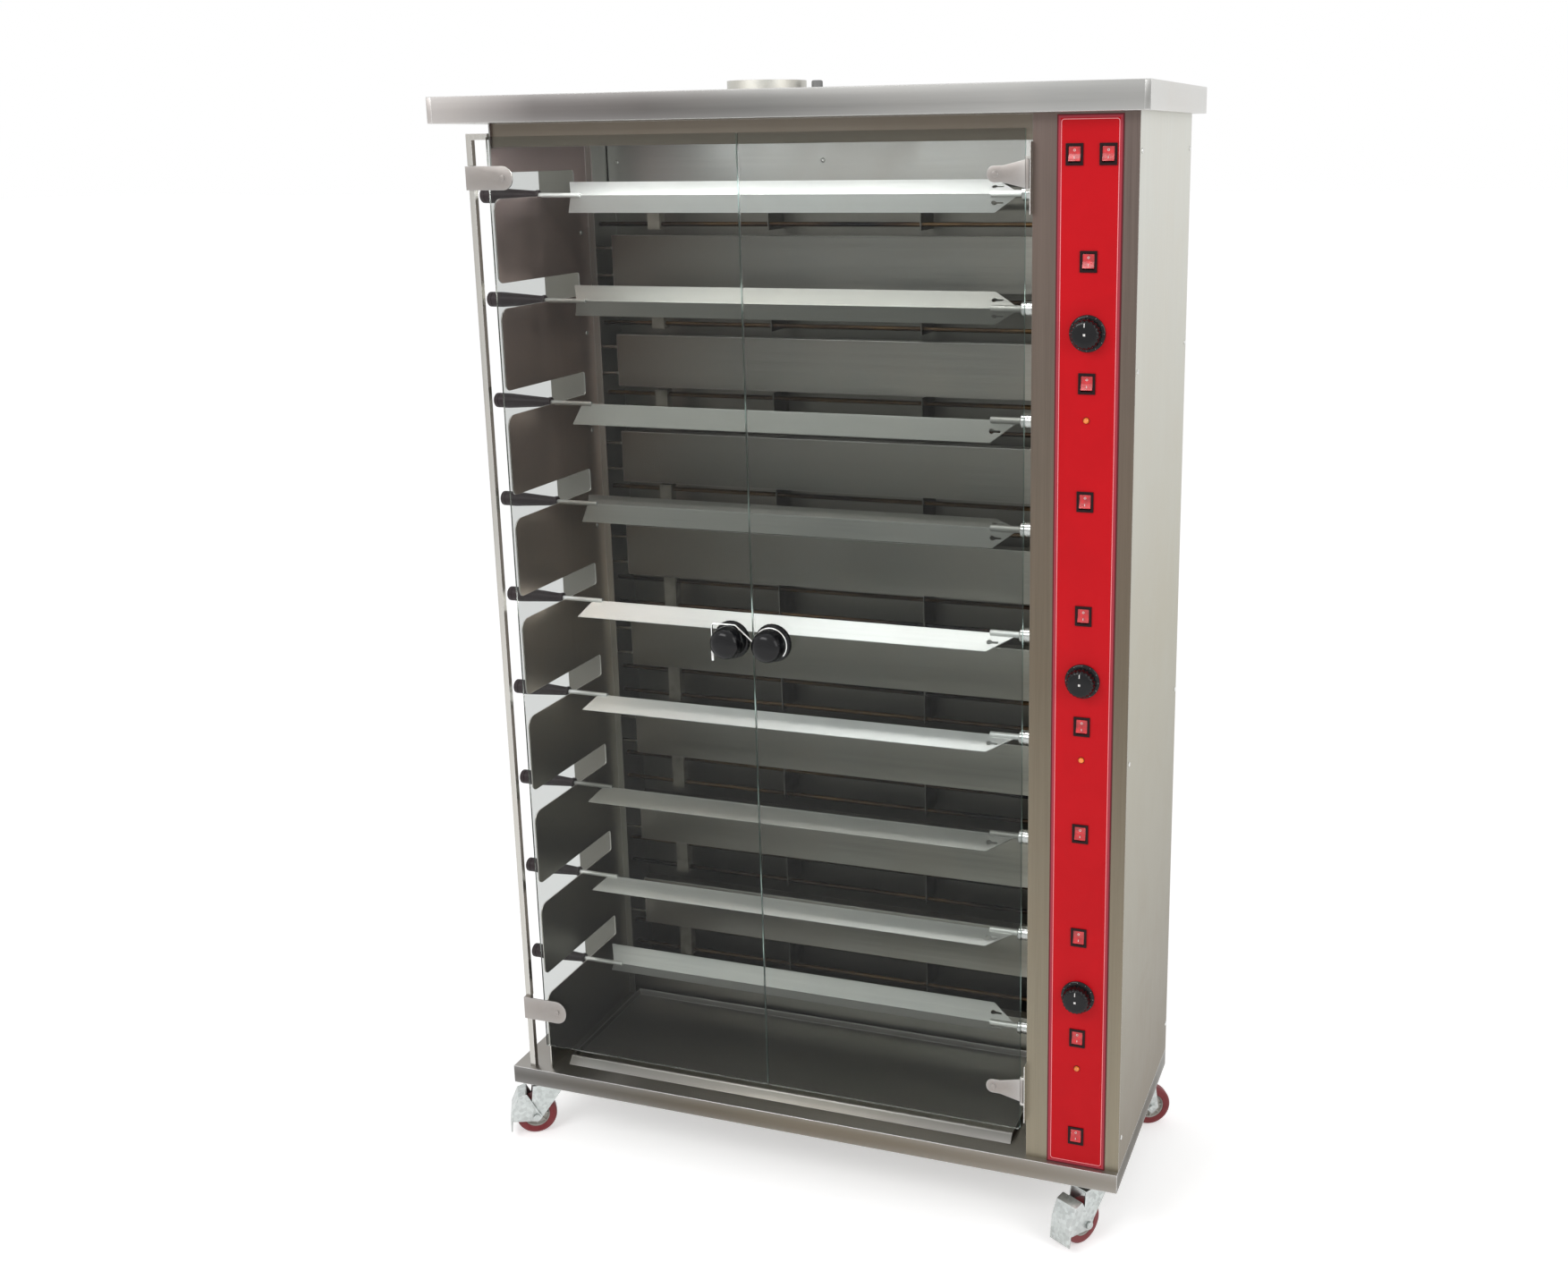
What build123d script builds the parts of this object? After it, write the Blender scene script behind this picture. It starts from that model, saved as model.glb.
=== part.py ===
from build123d import *
import os
from math import cos, radians, sin

os.makedirs("parts", exist_ok=True)

# Millimetres. X runs to the right, Y to the back and Z up.
# The origin is on the floor, under the middle of the whole outline.

# Cabinet
body_width = 1130.0
body_depth = 424.0
body_height = 1685.0
base_height = 33.0
base_nose = 10.4
caster_height = 110.0
canopy_height = 42.0
canopy_overhang = 20.0
canopy_nose = 30.0
column_width = 156.5
sheet = 1.5
frame_sheet = 2.0
base_flange = 85.0
canopy_flange = 60.0
column_flange = 20.0

# How far a cutting shape reaches past what it cuts
cut_margin = 1.0

# Running and seating clearances
shaft_clearance = 0.08
seat_gap = 0.3

# Spits
spit_count = 9
spit_pitch = 177.4
top_spit_drop = 118.0
spit_depth = 158.0
rod_diameter = 8.0
bar_flange = 37.0
bar_sheet = 2.0
bar_inset = 39.0
bar_end_slant = 18.0
bar_tip_slant = 48.0
bar_tip_gap = 59.5
key_hole_diameter = 9.0
key_slot_width = 4.0
key_slot_length = 15.0
key_inset = 2.0
drive_pin_diameter = 11.0
socket_diameter = 24.0
socket_length = 56.0
socket_depth = 26.0
socket_fillet = 1.5
drive_shaft_diameter = 12.0
drive_shaft_length = 36.0
spit_rest_angles = (-10.0, -4.0, -54.0, -33.0, -93.5, -101.5, -100.0, -108.0, -7.5)
handle_length = 111.5
handle_gap = 3.5
handle_diameter = 26.0
handle_neck_diameter = 15.0
handle_collar_diameter = 18.0
handle_collar_length = 5.0
handle_end_cover = 2.0

# Comb wall that carries the left ends of the spits
comb_inset = 70.0
comb_front = 5.0
comb_back = 315.0
comb_flange = 14.0
slot_back = 270.0
slot_height = 41.5
slot_floor_drop = 1.5
slot_corner = 6.0
finger_top_radius = 20.0
finger_bottom_radius = 12.0
rear_box_front = 272.0

# Reflectors and heaters
reflector_depth = 320.0
reflector_top_drop = 75.0
reflector_bottom_rise = 9.0
reflector_left_gap = 43.0
reflector_right_gap = 8.5
reflector_flange = 25.0
reflector_pin_diameter = 6.0
reflector_pin_spacing = 48.0
heater_depth = 360.0
heater_diameter = 8.0
heater_spacing = 48.0
heater_drop = 33.0
heater_right_gap = 60.0
terminal_offset = 101.0
terminal_length = 24.0
terminal_depth = 20.0
terminal_height = 66.0
heater_bracket_offsets = (334.0, 615.0)
heater_bracket_height = 68.0
heater_bracket_reach = 8.0

# Top panel behind the doors
fascia_height = 38.0
fascia_front = 10.0
drop_panel_depth = 398.0
lamp_base_length = 520.0
lamp_base_width = 28.0
lamp_base_height = 8.0
lamp_tube_length = 480.0
lamp_tube_diameter = 16.0
lamp_tube_seat = 1.0
lamp_depth = 60.0

# Doors
glass_thickness = 5.0
door_gap = 1.0
glass_bottom = 51.0
glass_top_drop = 21.0
glass_corner = 3.0
door_split = 620.0
door_split_gap = 2.0
left_glass_gap = 0.5
right_glass_gap = 9.5
post_width = 10.0
post_inset = 29.0
post_depth = 3.0
post_top_drop = 16.0
post_neck_diameter = 8.0
hinge_block_radius = 6.0
bracket_sheet = 2.5
left_bracket_length = 86.0
left_bracket_heights = (38.0, 42.0)
left_bracket_levels = (1599.0, 122.0)
right_bracket_length = 61.0
right_bracket_end_height = 24.0
right_bracket_root_height = 42.0
right_bracket_levels = (1599.5, 125.0)
bracket_bolt_inset = 18.0
bolt_diameter = 6.0
bolt_head_diameter = 9.0
bolt_head_height = 2.5
bolt_nut_diameter = 14.0
bolt_nut_height = 4.0
bolt_hex_apothem = 5.0
leaf_height = 103.0
leaf_depth = 30.0
leaf_lift = 6.0
knuckle_radius = 3.5
knuckle_standoff = 5.5
knuckle_depth = 0.5
knuckle_pin_diameter = 4.0
lug_height = 4.0

# Door knobs and the wire latch
knob_length = 44.0
knob_offset = 36.5
knob_level = 859.0
rosette_radius = 32.0
rosette_length = 8.0
knob_neck_radius = 25.5
knob_neck_length = 8.0
knob_cap_radius = 27.0
knob_dome_radius = 9.0
knob_cap_fillet = 2.0
rosette_fillet = 1.5
latch_wire = 3.2
latch_tip = 5.0
latch_tip_length = 17.0
latch_tail_drop = 36.0
latch_loop_end = -40.0
latch_loop_start = 186.0
latch_corner = 4.0
latch_arm_lean = 0.38

# Control plate, rockers, thermostats and lamps
plate_right_inset = 23.0
plate_width = 97.4
plate_top_gap = 3.0
panel_centre_inset = 71.7
rocker_drop = 92.4
bezel_width = 25.5
bezel_height = 31.0
bezel_thickness = 2.0
switch_body_width = 21.5
switch_body_height = 27.5
switch_body_depth = 22.0
switch_cutout_gap = 0.1
rocker_opening_width = 18.0
rocker_opening_height = 23.6
rocker_opening_depth = 11.5
rocker_width = 17.4
rocker_half_height = 10.4
rocker_ridge = 5.2
rocker_valley = 3.6
rocker_back = 3.5
rocker_pivot_depth = 1.5
rocker_pivot_diameter = 3.0
rocker_tilt = 9.0
rocker_bevel = 0.8
rocker_pin_gap = 0.2
terminal_tab_width = 6.3
terminal_tab_sheet = 0.8
terminal_tab_length = 8.0
terminal_tab_spacing = 12.0
service_rocker_drop = 59.0
service_rocker_spacing = 49.4
service_rocker_centre = 69.6
thermostat_drop = 196.0
thermostat_levels = (0, 3, 6)
thermostat_body = 40.0
thermostat_body_depth = 28.0
thermostat_bush_diameter = 12.0
thermostat_shaft_diameter = 6.0
thermostat_shaft_depth = 20.0
thermostat_bore_gap = 1.0
dial_diameter = 54.6
dial_thickness = 3.5
dial_gap = 0.5
dial_grip_radius = 23.0
dial_grip_length = 19.0
dial_flute_radius = 2.2
dial_flute_count = 20
dial_top_fillet = 5.0
lamp_drop = 147.0
lamp_levels = (1, 4, 7)
lamp_diameter = 10.0
lamp_body_diameter = 9.0
lamp_body_depth = 18.0
lamp_rim = 1.0

# Gear motors in the column
gearbox_size = 60.0
gearbox_length = 40.0
motor_diameter = 50.0
motor_length = 52.0
bulkhead_hole_gap = 1.0
motor_bore_gap = 2.0

# Roof vent, fan and cable gland
vent_inset = 642.0
vent_depth = 170.0
vent_diameter = 128.0
vent_height = 18.0
vent_spigot_diameter = 106.0
vent_spigot_wall = 2.5
vent_spigot_drop = 30.0
vent_spoke_width = 6.0
vent_spoke_height = 3.0
vent_pod_radius = 20.0
vent_pod_height = 20.0
fan_hub_radius = 16.0
fan_hub_height = 17.0
fan_shaft_diameter = 5.0
fan_shaft_grip = 12.0
fan_blade_count = 6
fan_blade_sheet = 1.5
fan_blade_chord = 22.0
fan_blade_pitch = 30.0
fan_blade_grip = 3.0
fan_shaft_end_gap = 1.0
fan_tip_gap = 2.5
gland_inset = 555.0
gland_hex = 22.0
gland_hex_height = 6.0
gland_dome_radius = 9.0
gland_height = 17.0
gland_bore = 7.0

# Drip tray
tray_left_gap = 26.0
tray_right_gap = 33.5
tray_front = 25.0
tray_back = 310.0
tray_height = 13.5
tray_lip_depth = 12.0
tray_lip_foot_wall = 3.75
tray_lip_top_wall = 4.5

# Casters
caster_inset_x = 50.0
caster_inset_y = 33.0
caster_rear_inset_y = 39.0
caster_turns = {"fl": 213.0, "fr": 240.0, "rl": 150.0, "rr": 30.0}
braked_casters = ("fl", "fr")
wheel_diameter = 75.0
tread_width = 24.0
hub_width = 30.4
hub_diameter = 46.0
wheel_web = 10.0
wheel_trail = 30.0
axle_diameter = 8.0
axle_head_diameter = 13.0
axle_head_length = 3.5
caster_plate_size = 60.0
caster_plate_sheet = 3.0
caster_bolt_spacing = 45.0
kingpin_diameter = 10.0
kingpin_head_diameter = 16.0
kingpin_head_height = 3.0
fork_race_radius = 21.0
fork_race_height = 7.0
fork_sheet = 2.5
fork_side_gap = 0.3
fork_crown_front = 20.0
fork_crown_back = 34.0
fork_crown_lip = 12.0
fork_ear_margin = 3.0
pedal_sheet = 2.5
pedal_width = 44.0
pedal_boss_radius = 9.0
pedal_arm_front = (-6.0, 6.0)
pedal_arm_foot = (4.0, -8.0)
pedal_profile = ((-21.5, 86.0), (-7.5, 81.0), (4.0, 55.5), (6.5, 33.5), (8.5, 14.0))
pedal_rise = 1.0

# Screws
screw_diameter = 4.0
screw_head_diameter = 8.0
screw_head_height = 2.0
screw_grip = 4.0
side_screw_inset = 14.0
side_screw_levels = (57.0, 706.0, 1315.0, 1630.0)
comb_screw_depth = 285.0
panel_screw_offsets = (20.0, 423.0, 826.0)
panel_screw_drop = 67.0

# Reference faces and heights
knob_reach = door_gap + glass_thickness + knob_length
handle_reach = handle_gap + handle_length - comb_inset
right_x = (body_width + handle_reach + canopy_overhang) / 2 - canopy_overhang
left_x = right_x - body_width
front_y = knob_reach - (knob_reach + body_depth + canopy_overhang) / 2
back_y = front_y + body_depth
deck_z = caster_height + base_height
roof_z = deck_z + body_height
canopy_top_z = roof_z + canopy_height
column_x = right_x - column_width
comb_x = left_x + comb_inset
comb_inner_x = comb_x + frame_sheet
split_x = right_x - door_split
glass_back_y = front_y - door_gap
glass_front_y = glass_back_y - glass_thickness
bracket_front_y = glass_front_y - bracket_sheet
plate_front_y = front_y - sheet
panel_x = right_x - panel_centre_inset
spit_y = front_y + spit_depth
spit_levels = [roof_z - top_spit_drop - spit_pitch * i for i in range(spit_count)]
reflector_y = front_y + reflector_depth
panel_back_y = back_y - sheet


def caster_centre(corner):
    """Place of a caster's swivel axis, from its corner's name."""
    x = left_x + caster_inset_x if corner[1] == "l" else right_x - caster_inset_x
    y = front_y + caster_inset_y if corner[0] == "f" else back_y - caster_rear_inset_y
    return x, y


def block(x0, x1, y0, y1, z0, z1, mode=Mode.ADD):
    """A box between two corners, added to or cut from the part being built."""
    with Locations(((x0 + x1) / 2, (y0 + y1) / 2, (z0 + z1) / 2)):
        Box(abs(x1 - x0), abs(y1 - y0), abs(z1 - z0), mode=mode)


def rod_x(x0, x1, y, z, radius, mode=Mode.ADD):
    """A round bar along X."""
    with Locations(Location(((x0 + x1) / 2, y, z), (0, 90, 0))):
        Cylinder(radius, abs(x1 - x0), mode=mode)


def rod_y(x, y0, y1, z, radius, mode=Mode.ADD):
    """A round bar along Y."""
    with Locations(Location((x, (y0 + y1) / 2, z), (90, 0, 0))):
        Cylinder(radius, abs(y1 - y0), mode=mode)


def rod_z(x, y, z0, z1, radius, mode=Mode.ADD):
    """A round bar along Z."""
    with Locations((x, y, (z0 + z1) / 2)):
        Cylinder(radius, abs(z1 - z0), mode=mode)


def pan_boxes(x0, x1, y0, y1, z0, z1, wall, flange):
    """Boxes of a pan open below: its top, four walls and four turned-in flanges."""
    top_z = z1 - wall
    rim_z = z0 + wall
    wall_x0, wall_x1, wall_y0, wall_y1 = x0 + wall, x1 - wall, y0 + wall, y1 - wall
    rim_x0, rim_x1, rim_y0, rim_y1 = x0 + flange, x1 - flange, y0 + flange, y1 - flange
    return [
        (x0, x1, y0, y1, top_z, z1),
        (x0, x1, y0, wall_y0, z0, top_z),
        (x0, x1, wall_y1, y1, z0, top_z),
        (x0, wall_x0, wall_y0, wall_y1, z0, top_z),
        (wall_x1, x1, wall_y0, wall_y1, z0, top_z),
        (wall_x0, wall_x1, wall_y0, rim_y0, z0, rim_z),
        (wall_x0, wall_x1, rim_y1, wall_y1, z0, rim_z),
        (wall_x0, rim_x0, rim_y0, rim_y1, z0, rim_z),
        (rim_x1, wall_x1, rim_y0, rim_y1, z0, rim_z),
    ]


# Places of the panel's controls and of the screws
rockers = {f"rocker_{i + 1}": (panel_x, z - rocker_drop) for i, z in enumerate(spit_levels)}
service_x = right_x - service_rocker_centre
rockers["rocker_light"] = (service_x - service_rocker_spacing / 2, roof_z - service_rocker_drop)
rockers["rocker_fan"] = (service_x + service_rocker_spacing / 2, roof_z - service_rocker_drop)
thermostat_heights = [spit_levels[i] - thermostat_drop for i in thermostat_levels]
lamp_heights = [spit_levels[i] - lamp_drop for i in lamp_levels]
side_screw_places = [
    (y, deck_z + z)
    for y in (front_y + side_screw_inset, back_y - side_screw_inset)
    for z in side_screw_levels
]
finger_height = spit_pitch - slot_height
comb_screw_heights = [
    z - slot_floor_drop + slot_height + finger_height / 2 for z in spit_levels[1:]
]
panel_screw_places = [
    (comb_x + x, roof_z - panel_screw_drop) for x in panel_screw_offsets
]
caster_bolt_places = [
    (x + i * caster_bolt_spacing / 2, y + j * caster_bolt_spacing / 2)
    for x, y in map(caster_centre, caster_turns)
    for i in (-1, 1)
    for j in (-1, 1)
]
screw_radius = screw_diameter / 2
caster_bolt_radius = bolt_diameter / 2

# Base pan, open below inside its turned-in flange, with the four caster plates under it.
# Folded sheets are made as flat plates that meet face to face.
plate_bottom_z = caster_height - caster_plate_sheet
fork_race_top = plate_bottom_z - seat_gap
fork_crown_z = fork_race_top - fork_race_height
kingpin_end_z = fork_crown_z - fork_sheet - seat_gap - kingpin_head_height
pan_front_y = front_y - base_nose
base_plates = []
for box in pan_boxes(
    left_x, right_x, pan_front_y, back_y, caster_height, deck_z, frame_sheet, base_flange
):
    with BuildPart() as base_plate:
        block(*box)
        for bolt_x, bolt_y in caster_bolt_places:
            rod_z(
                bolt_x,
                bolt_y,
                caster_height - cut_margin,
                caster_height + frame_sheet,
                caster_bolt_radius,
                Mode.SUBTRACT,
            )
    base_plates.append(base_plate.part)
for corner in caster_turns:
    plate_x, plate_y = caster_centre(corner)
    with BuildPart() as caster_plate:
        with Locations((plate_x, plate_y, caster_height - caster_plate_sheet / 2)):
            Box(caster_plate_size, caster_plate_size, caster_plate_sheet)
        rod_z(plate_x, plate_y, kingpin_end_z, plate_bottom_z, kingpin_diameter / 2)
        rod_z(
            plate_x,
            plate_y,
            kingpin_end_z,
            kingpin_end_z + kingpin_head_height,
            kingpin_head_diameter / 2,
        )
        with Locations((plate_x, plate_y, caster_height)):
            with GridLocations(caster_bolt_spacing, caster_bolt_spacing, 2, 2):
                Hole(caster_bolt_radius)
    base_plates.append(caster_plate.part)
base = Compound(children=base_plates)
base.label = "base_frame"
export_step(base, "parts/base_frame.step")

# Casters: a swivelling fork with its axle, a wheel, and a brake pedal on the front pair
axle_z = wheel_diameter / 2
leg_inner = hub_width / 2 + fork_side_gap
leg_outer = leg_inner + fork_sheet
arm_inner = leg_outer + fork_side_gap
arm_outer = arm_inner + pedal_sheet
axle_radius = axle_diameter / 2
axle_bore = axle_radius + shaft_clearance
fork_ear = pedal_boss_radius + fork_ear_margin
for corner, turn in caster_turns.items():
    braked = corner in braked_casters
    corner_x, corner_y = caster_centre(corner)
    place = Location((corner_x, corner_y, 0), (0, 0, turn))
    axle_seat = arm_outer + fork_side_gap if braked else leg_outer

    with BuildPart() as fork:
        rod_z(0, 0, fork_crown_z, fork_race_top, fork_race_radius)
        block(
            -fork_crown_front,
            fork_crown_back,
            -leg_outer,
            leg_outer,
            fork_crown_z - fork_sheet,
            fork_crown_z,
        )
        with BuildSketch(Plane.XZ.offset(leg_outer)):
            Polygon(
                (-fork_crown_front, fork_crown_z),
                (fork_crown_back, fork_crown_z),
                (wheel_trail + fork_ear, axle_z),
                (wheel_trail, axle_z - fork_ear),
                (wheel_trail - fork_ear, axle_z),
                (-fork_crown_front, fork_crown_z - fork_crown_lip),
                align=None,
            )
        extrude(amount=-2 * leg_outer)
        block(
            -fork_crown_front - cut_margin,
            wheel_trail + wheel_diameter / 2,
            -leg_inner,
            leg_inner,
            0,
            fork_crown_z - fork_sheet,
            Mode.SUBTRACT,
        )
        rod_z(
            0,
            0,
            fork_crown_z - fork_sheet,
            fork_race_top,
            kingpin_diameter / 2 + shaft_clearance,
            Mode.SUBTRACT,
        )
        rod_y(wheel_trail, -leg_outer, leg_outer, axle_z, axle_radius, Mode.SUBTRACT)
    with BuildPart() as axle:
        rod_y(wheel_trail, -axle_seat, axle_seat, axle_z, axle_radius)
        for side in (-1, 1):
            rod_y(
                wheel_trail,
                side * axle_seat,
                side * (axle_seat + axle_head_length),
                axle_z,
                axle_head_diameter / 2,
            )
    fork_parts = Compound(children=[fork.part.moved(place), axle.part.moved(place)])
    fork_parts.label = f"caster_fork_{corner}"
    export_step(fork_parts, f"parts/caster_fork_{corner}.step")

    with BuildPart() as wheel:
        rod_y(wheel_trail, -tread_width / 2, tread_width / 2, axle_z, wheel_diameter / 2)
        fillet(wheel.edges().filter_by(GeomType.CIRCLE), tread_width / 8)
        for side in (-1, 1):
            rod_y(
                wheel_trail,
                side * wheel_web / 2,
                side * tread_width,
                axle_z,
                hub_diameter / 2,
                Mode.SUBTRACT,
            )
        rod_y(wheel_trail, -hub_width / 2, hub_width / 2, axle_z, pedal_boss_radius)
        rod_y(wheel_trail, -hub_width, hub_width, axle_z, axle_bore, Mode.SUBTRACT)
    placed_wheel = wheel.part.moved(place)
    placed_wheel.label = f"caster_wheel_{corner}"
    export_step(placed_wheel, f"parts/caster_wheel_{corner}.step")

    if not braked:
        continue
    wheel_back = wheel_trail + wheel_diameter / 2
    tongue = [(wheel_back + x, z) for x, z in pedal_profile]
    tongue_back = [(x + pedal_sheet, z + pedal_rise) for x, z in reversed(tongue)]
    with BuildPart() as pedal:
        with BuildSketch(Plane.XZ.offset(-pedal_width / 2)):
            with BuildLine():
                Polyline(*tongue, *tongue_back, tongue[0])
            make_face()
        extrude(amount=pedal_width)
        for side in (-1, 1):
            with BuildSketch(Plane.XZ.offset(side * (arm_inner + arm_outer) / 2)):
                Polygon(
                    (wheel_trail + pedal_arm_front[0], axle_z + pedal_arm_front[1]),
                    tongue[0],
                    tongue[1],
                    tongue[2],
                    tongue[3],
                    (wheel_trail + pedal_arm_foot[0], axle_z + pedal_arm_foot[1]),
                    align=None,
                )
                with Locations((wheel_trail, axle_z)):
                    Circle(pedal_boss_radius)
            extrude(amount=pedal_sheet / 2, both=True)
        rod_y(wheel_trail, -pedal_width, pedal_width, axle_z, axle_bore, Mode.SUBTRACT)
    placed_pedal = pedal.part.moved(place)
    placed_pedal.label = f"brake_pedal_{corner}"
    export_step(placed_pedal, f"parts/brake_pedal_{corner}.step")

# Left comb wall: fingers between open slots, each slot with a cradle for its spit
comb_front_y = front_y + comb_front
slot_back_y = front_y + slot_back
slot_floors = [z - slot_floor_drop for z in spit_levels]
slot_roofs = [z + slot_height for z in slot_floors]
rod_radius = rod_diameter / 2


def edges_along_x(part, y, heights):
    """Edges along X that lie at one depth and at the given heights."""
    return [
        edge
        for edge in part.edges().filter_by(Axis.X)
        if abs(edge.center().Y - y) < 0.01
        and min(abs(edge.center().Z - z) for z in heights) < 0.01
    ]


with BuildPart() as left_comb_wall:
    block(comb_x, comb_inner_x, comb_front_y, front_y + comb_back, deck_z, roof_z)
    for floor, roof in zip(slot_floors, slot_roofs):
        block(comb_x, comb_inner_x, comb_front_y, slot_back_y, floor, roof, Mode.SUBTRACT)
    fillet(edges_along_x(left_comb_wall.part, comb_front_y, slot_floors), finger_top_radius)
    fillet(edges_along_x(left_comb_wall.part, comb_front_y, slot_roofs), finger_bottom_radius)
    fillet(edges_along_x(left_comb_wall.part, slot_back_y, slot_floors + slot_roofs), slot_corner)
    for z in spit_levels:
        rod_x(comb_x, comb_inner_x, spit_y, z, rod_radius + shaft_clearance, Mode.SUBTRACT)
    block(
        comb_x,
        comb_x + comb_flange,
        front_y + comb_back - frame_sheet,
        front_y + comb_back,
        deck_z,
        roof_z - sheet,
    )
    for z in comb_screw_heights:
        rod_x(comb_x, comb_inner_x, front_y + comb_screw_depth, z, screw_radius, Mode.SUBTRACT)
left_comb_wall.part.label = "left_comb_wall"
export_step(left_comb_wall.part, "parts/left_comb_wall.step")

# Rear housing: the back panel with its right-hand return and the tall box behind the comb
rear_box_y = front_y + rear_box_front
return_y = panel_back_y - column_flange
rear_boxes = [
    (left_x, right_x, panel_back_y, back_y, deck_z, roof_z),
    (left_x, comb_x, rear_box_y, rear_box_y + sheet, deck_z, roof_z),
    (left_x, left_x + sheet, rear_box_y + sheet, panel_back_y, deck_z, roof_z),
    (comb_x - sheet, comb_x, rear_box_y + sheet, panel_back_y, deck_z, roof_z),
    (right_x - 2 * sheet, right_x - sheet, return_y, panel_back_y, deck_z, roof_z),
]
rear_plates = []
for box in rear_boxes:
    with BuildPart() as rear_plate:
        block(*box)
        for z in comb_screw_heights:
            rod_x(
                comb_x - sheet,
                comb_x,
                front_y + comb_screw_depth,
                z,
                screw_radius,
                Mode.SUBTRACT,
            )
        for screw_y, screw_z in side_screw_places:
            rod_x(
                right_x - 2 * sheet, right_x - sheet, screw_y, screw_z, screw_radius, Mode.SUBTRACT
            )
    rear_plates.append(rear_plate.part)
rear_housing = Compound(children=rear_plates)
rear_housing.label = "rear_housing"
export_step(rear_housing, "parts/rear_housing.step")

# Reflectors between the heater gaps, on studs at both ends, and the panel below the last gap
reflector_left = comb_x + reflector_left_gap
reflector_right = column_x - reflector_right_gap
edge_y = reflector_y + sheet
flange_y = reflector_y + reflector_flange
stud_spans = ((comb_x, reflector_left), (reflector_right, column_x))
low_top = spit_levels[-1] - reflector_top_drop
reflector_boxes = [
    (comb_inner_x, column_x, reflector_y, edge_y, deck_z, low_top),
    (comb_inner_x, column_x, edge_y, flange_y, low_top - sheet, low_top),
]
studs = []
for upper, lower in zip(spit_levels[:-1], spit_levels[1:]):
    top = upper - reflector_top_drop
    bottom = lower + reflector_bottom_rise
    reflector_boxes += [
        (reflector_left, reflector_right, reflector_y, edge_y, bottom, top),
        (reflector_left, reflector_right, edge_y, flange_y, top - sheet, top),
        (reflector_left, reflector_right, edge_y, flange_y, bottom, bottom + sheet),
    ]
    for side in (-1, 1):
        stud_z = (top + bottom + side * reflector_pin_spacing) / 2
        studs += [(x0, x1, stud_z) for x0, x1 in stud_spans]
reflector_pieces = []
for box in reflector_boxes:
    with BuildPart() as reflector_plate:
        block(*box)
    reflector_pieces.append(reflector_plate.part)
for x0, x1, stud_z in studs:
    with BuildPart() as stud:
        rod_x(x0, x1, reflector_y + sheet / 2, stud_z, reflector_pin_diameter / 2)
    reflector_pieces.append(stud.part)
reflectors = Compound(children=reflector_pieces)
reflectors.label = "reflector_panels"
export_step(reflectors, "parts/reflector_panels.step")

# Heating elements: a U-shaped tube in each gap, through a ceramic block and two hangers
heater_y = front_y + heater_depth
heater_radius = heater_diameter / 2
heater_bend_x = column_x - heater_right_gap
half_spacing = heater_spacing / 2
heater_pieces = []
for level in spit_levels:
    heater_z = level - heater_drop
    for side in (-1, 1):
        with BuildPart() as heater_leg:
            rod_x(
                comb_x, heater_bend_x, heater_y, heater_z + side * half_spacing, heater_radius
            )
        heater_pieces.append(heater_leg.part)
    with BuildPart() as heater_bend:
        with BuildLine():
            ThreePointArc(
                (heater_bend_x, heater_y, heater_z + half_spacing),
                (heater_bend_x + half_spacing, heater_y, heater_z),
                (heater_bend_x, heater_y, heater_z - half_spacing),
            )
        with BuildSketch(Plane.YZ.offset(heater_bend_x)):
            with Locations((heater_y, heater_z + half_spacing)):
                Circle(heater_radius)
        sweep()
    heater_pieces.append(heater_bend.part)
    with BuildPart() as terminal_block:
        with Locations((comb_x + terminal_offset + terminal_length / 2, heater_y, heater_z)):
            Box(terminal_length, terminal_depth, terminal_height)
        for side in (-1, 1):
            rod_x(
                comb_x + terminal_offset,
                comb_x + terminal_offset + terminal_length,
                heater_y,
                heater_z + side * half_spacing,
                heater_radius,
                Mode.SUBTRACT,
            )
    heater_pieces.append(terminal_block.part)
    for offset_x in heater_bracket_offsets:
        bracket_x = comb_x + offset_x
        with BuildPart() as hanger:
            block(
                bracket_x,
                bracket_x + frame_sheet,
                heater_y - heater_bracket_reach,
                panel_back_y,
                heater_z - heater_bracket_height / 2,
                heater_z + heater_bracket_height / 2,
            )
            for side in (-1, 1):
                rod_x(
                    bracket_x,
                    bracket_x + frame_sheet,
                    heater_y,
                    heater_z + side * half_spacing,
                    heater_radius,
                    Mode.SUBTRACT,
                )
        heater_pieces.append(hanger.part)
heaters = Compound(children=heater_pieces)
heaters.label = "heating_elements"
export_step(heaters, "parts/heating_elements.step")

# Top panel: the fascia behind the glass, the ceiling, and the plain panel at the rear
vent_x = right_x - vent_inset
vent_y = front_y + vent_depth
spigot_radius = vent_spigot_diameter / 2
spigot_bore = spigot_radius - vent_spigot_wall
ceiling_z = roof_z - sheet
fascia_y = front_y + fascia_front
drop_y = front_y + drop_panel_depth
with BuildPart() as fascia:
    block(
        comb_inner_x,
        column_x,
        fascia_y,
        fascia_y + frame_sheet,
        roof_z - fascia_height,
        ceiling_z,
    )
with BuildPart() as ceiling:
    block(comb_inner_x, column_x, fascia_y, panel_back_y, ceiling_z, roof_z)
    rod_z(vent_x, vent_y, ceiling_z, roof_z, spigot_bore, Mode.SUBTRACT)
with BuildPart() as drop_panel:
    block(
        comb_inner_x,
        column_x,
        drop_y,
        drop_y + frame_sheet,
        spit_levels[0] + reflector_bottom_rise,
        ceiling_z,
    )
    for screw_x, screw_z in panel_screw_places:
        rod_y(screw_x, drop_y, drop_y + frame_sheet, screw_z, screw_radius, Mode.SUBTRACT)
top_panel = Compound(children=[fascia.part, ceiling.part, drop_panel.part])
top_panel.label = "top_panel"
export_step(top_panel, "parts/top_panel.step")

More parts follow.
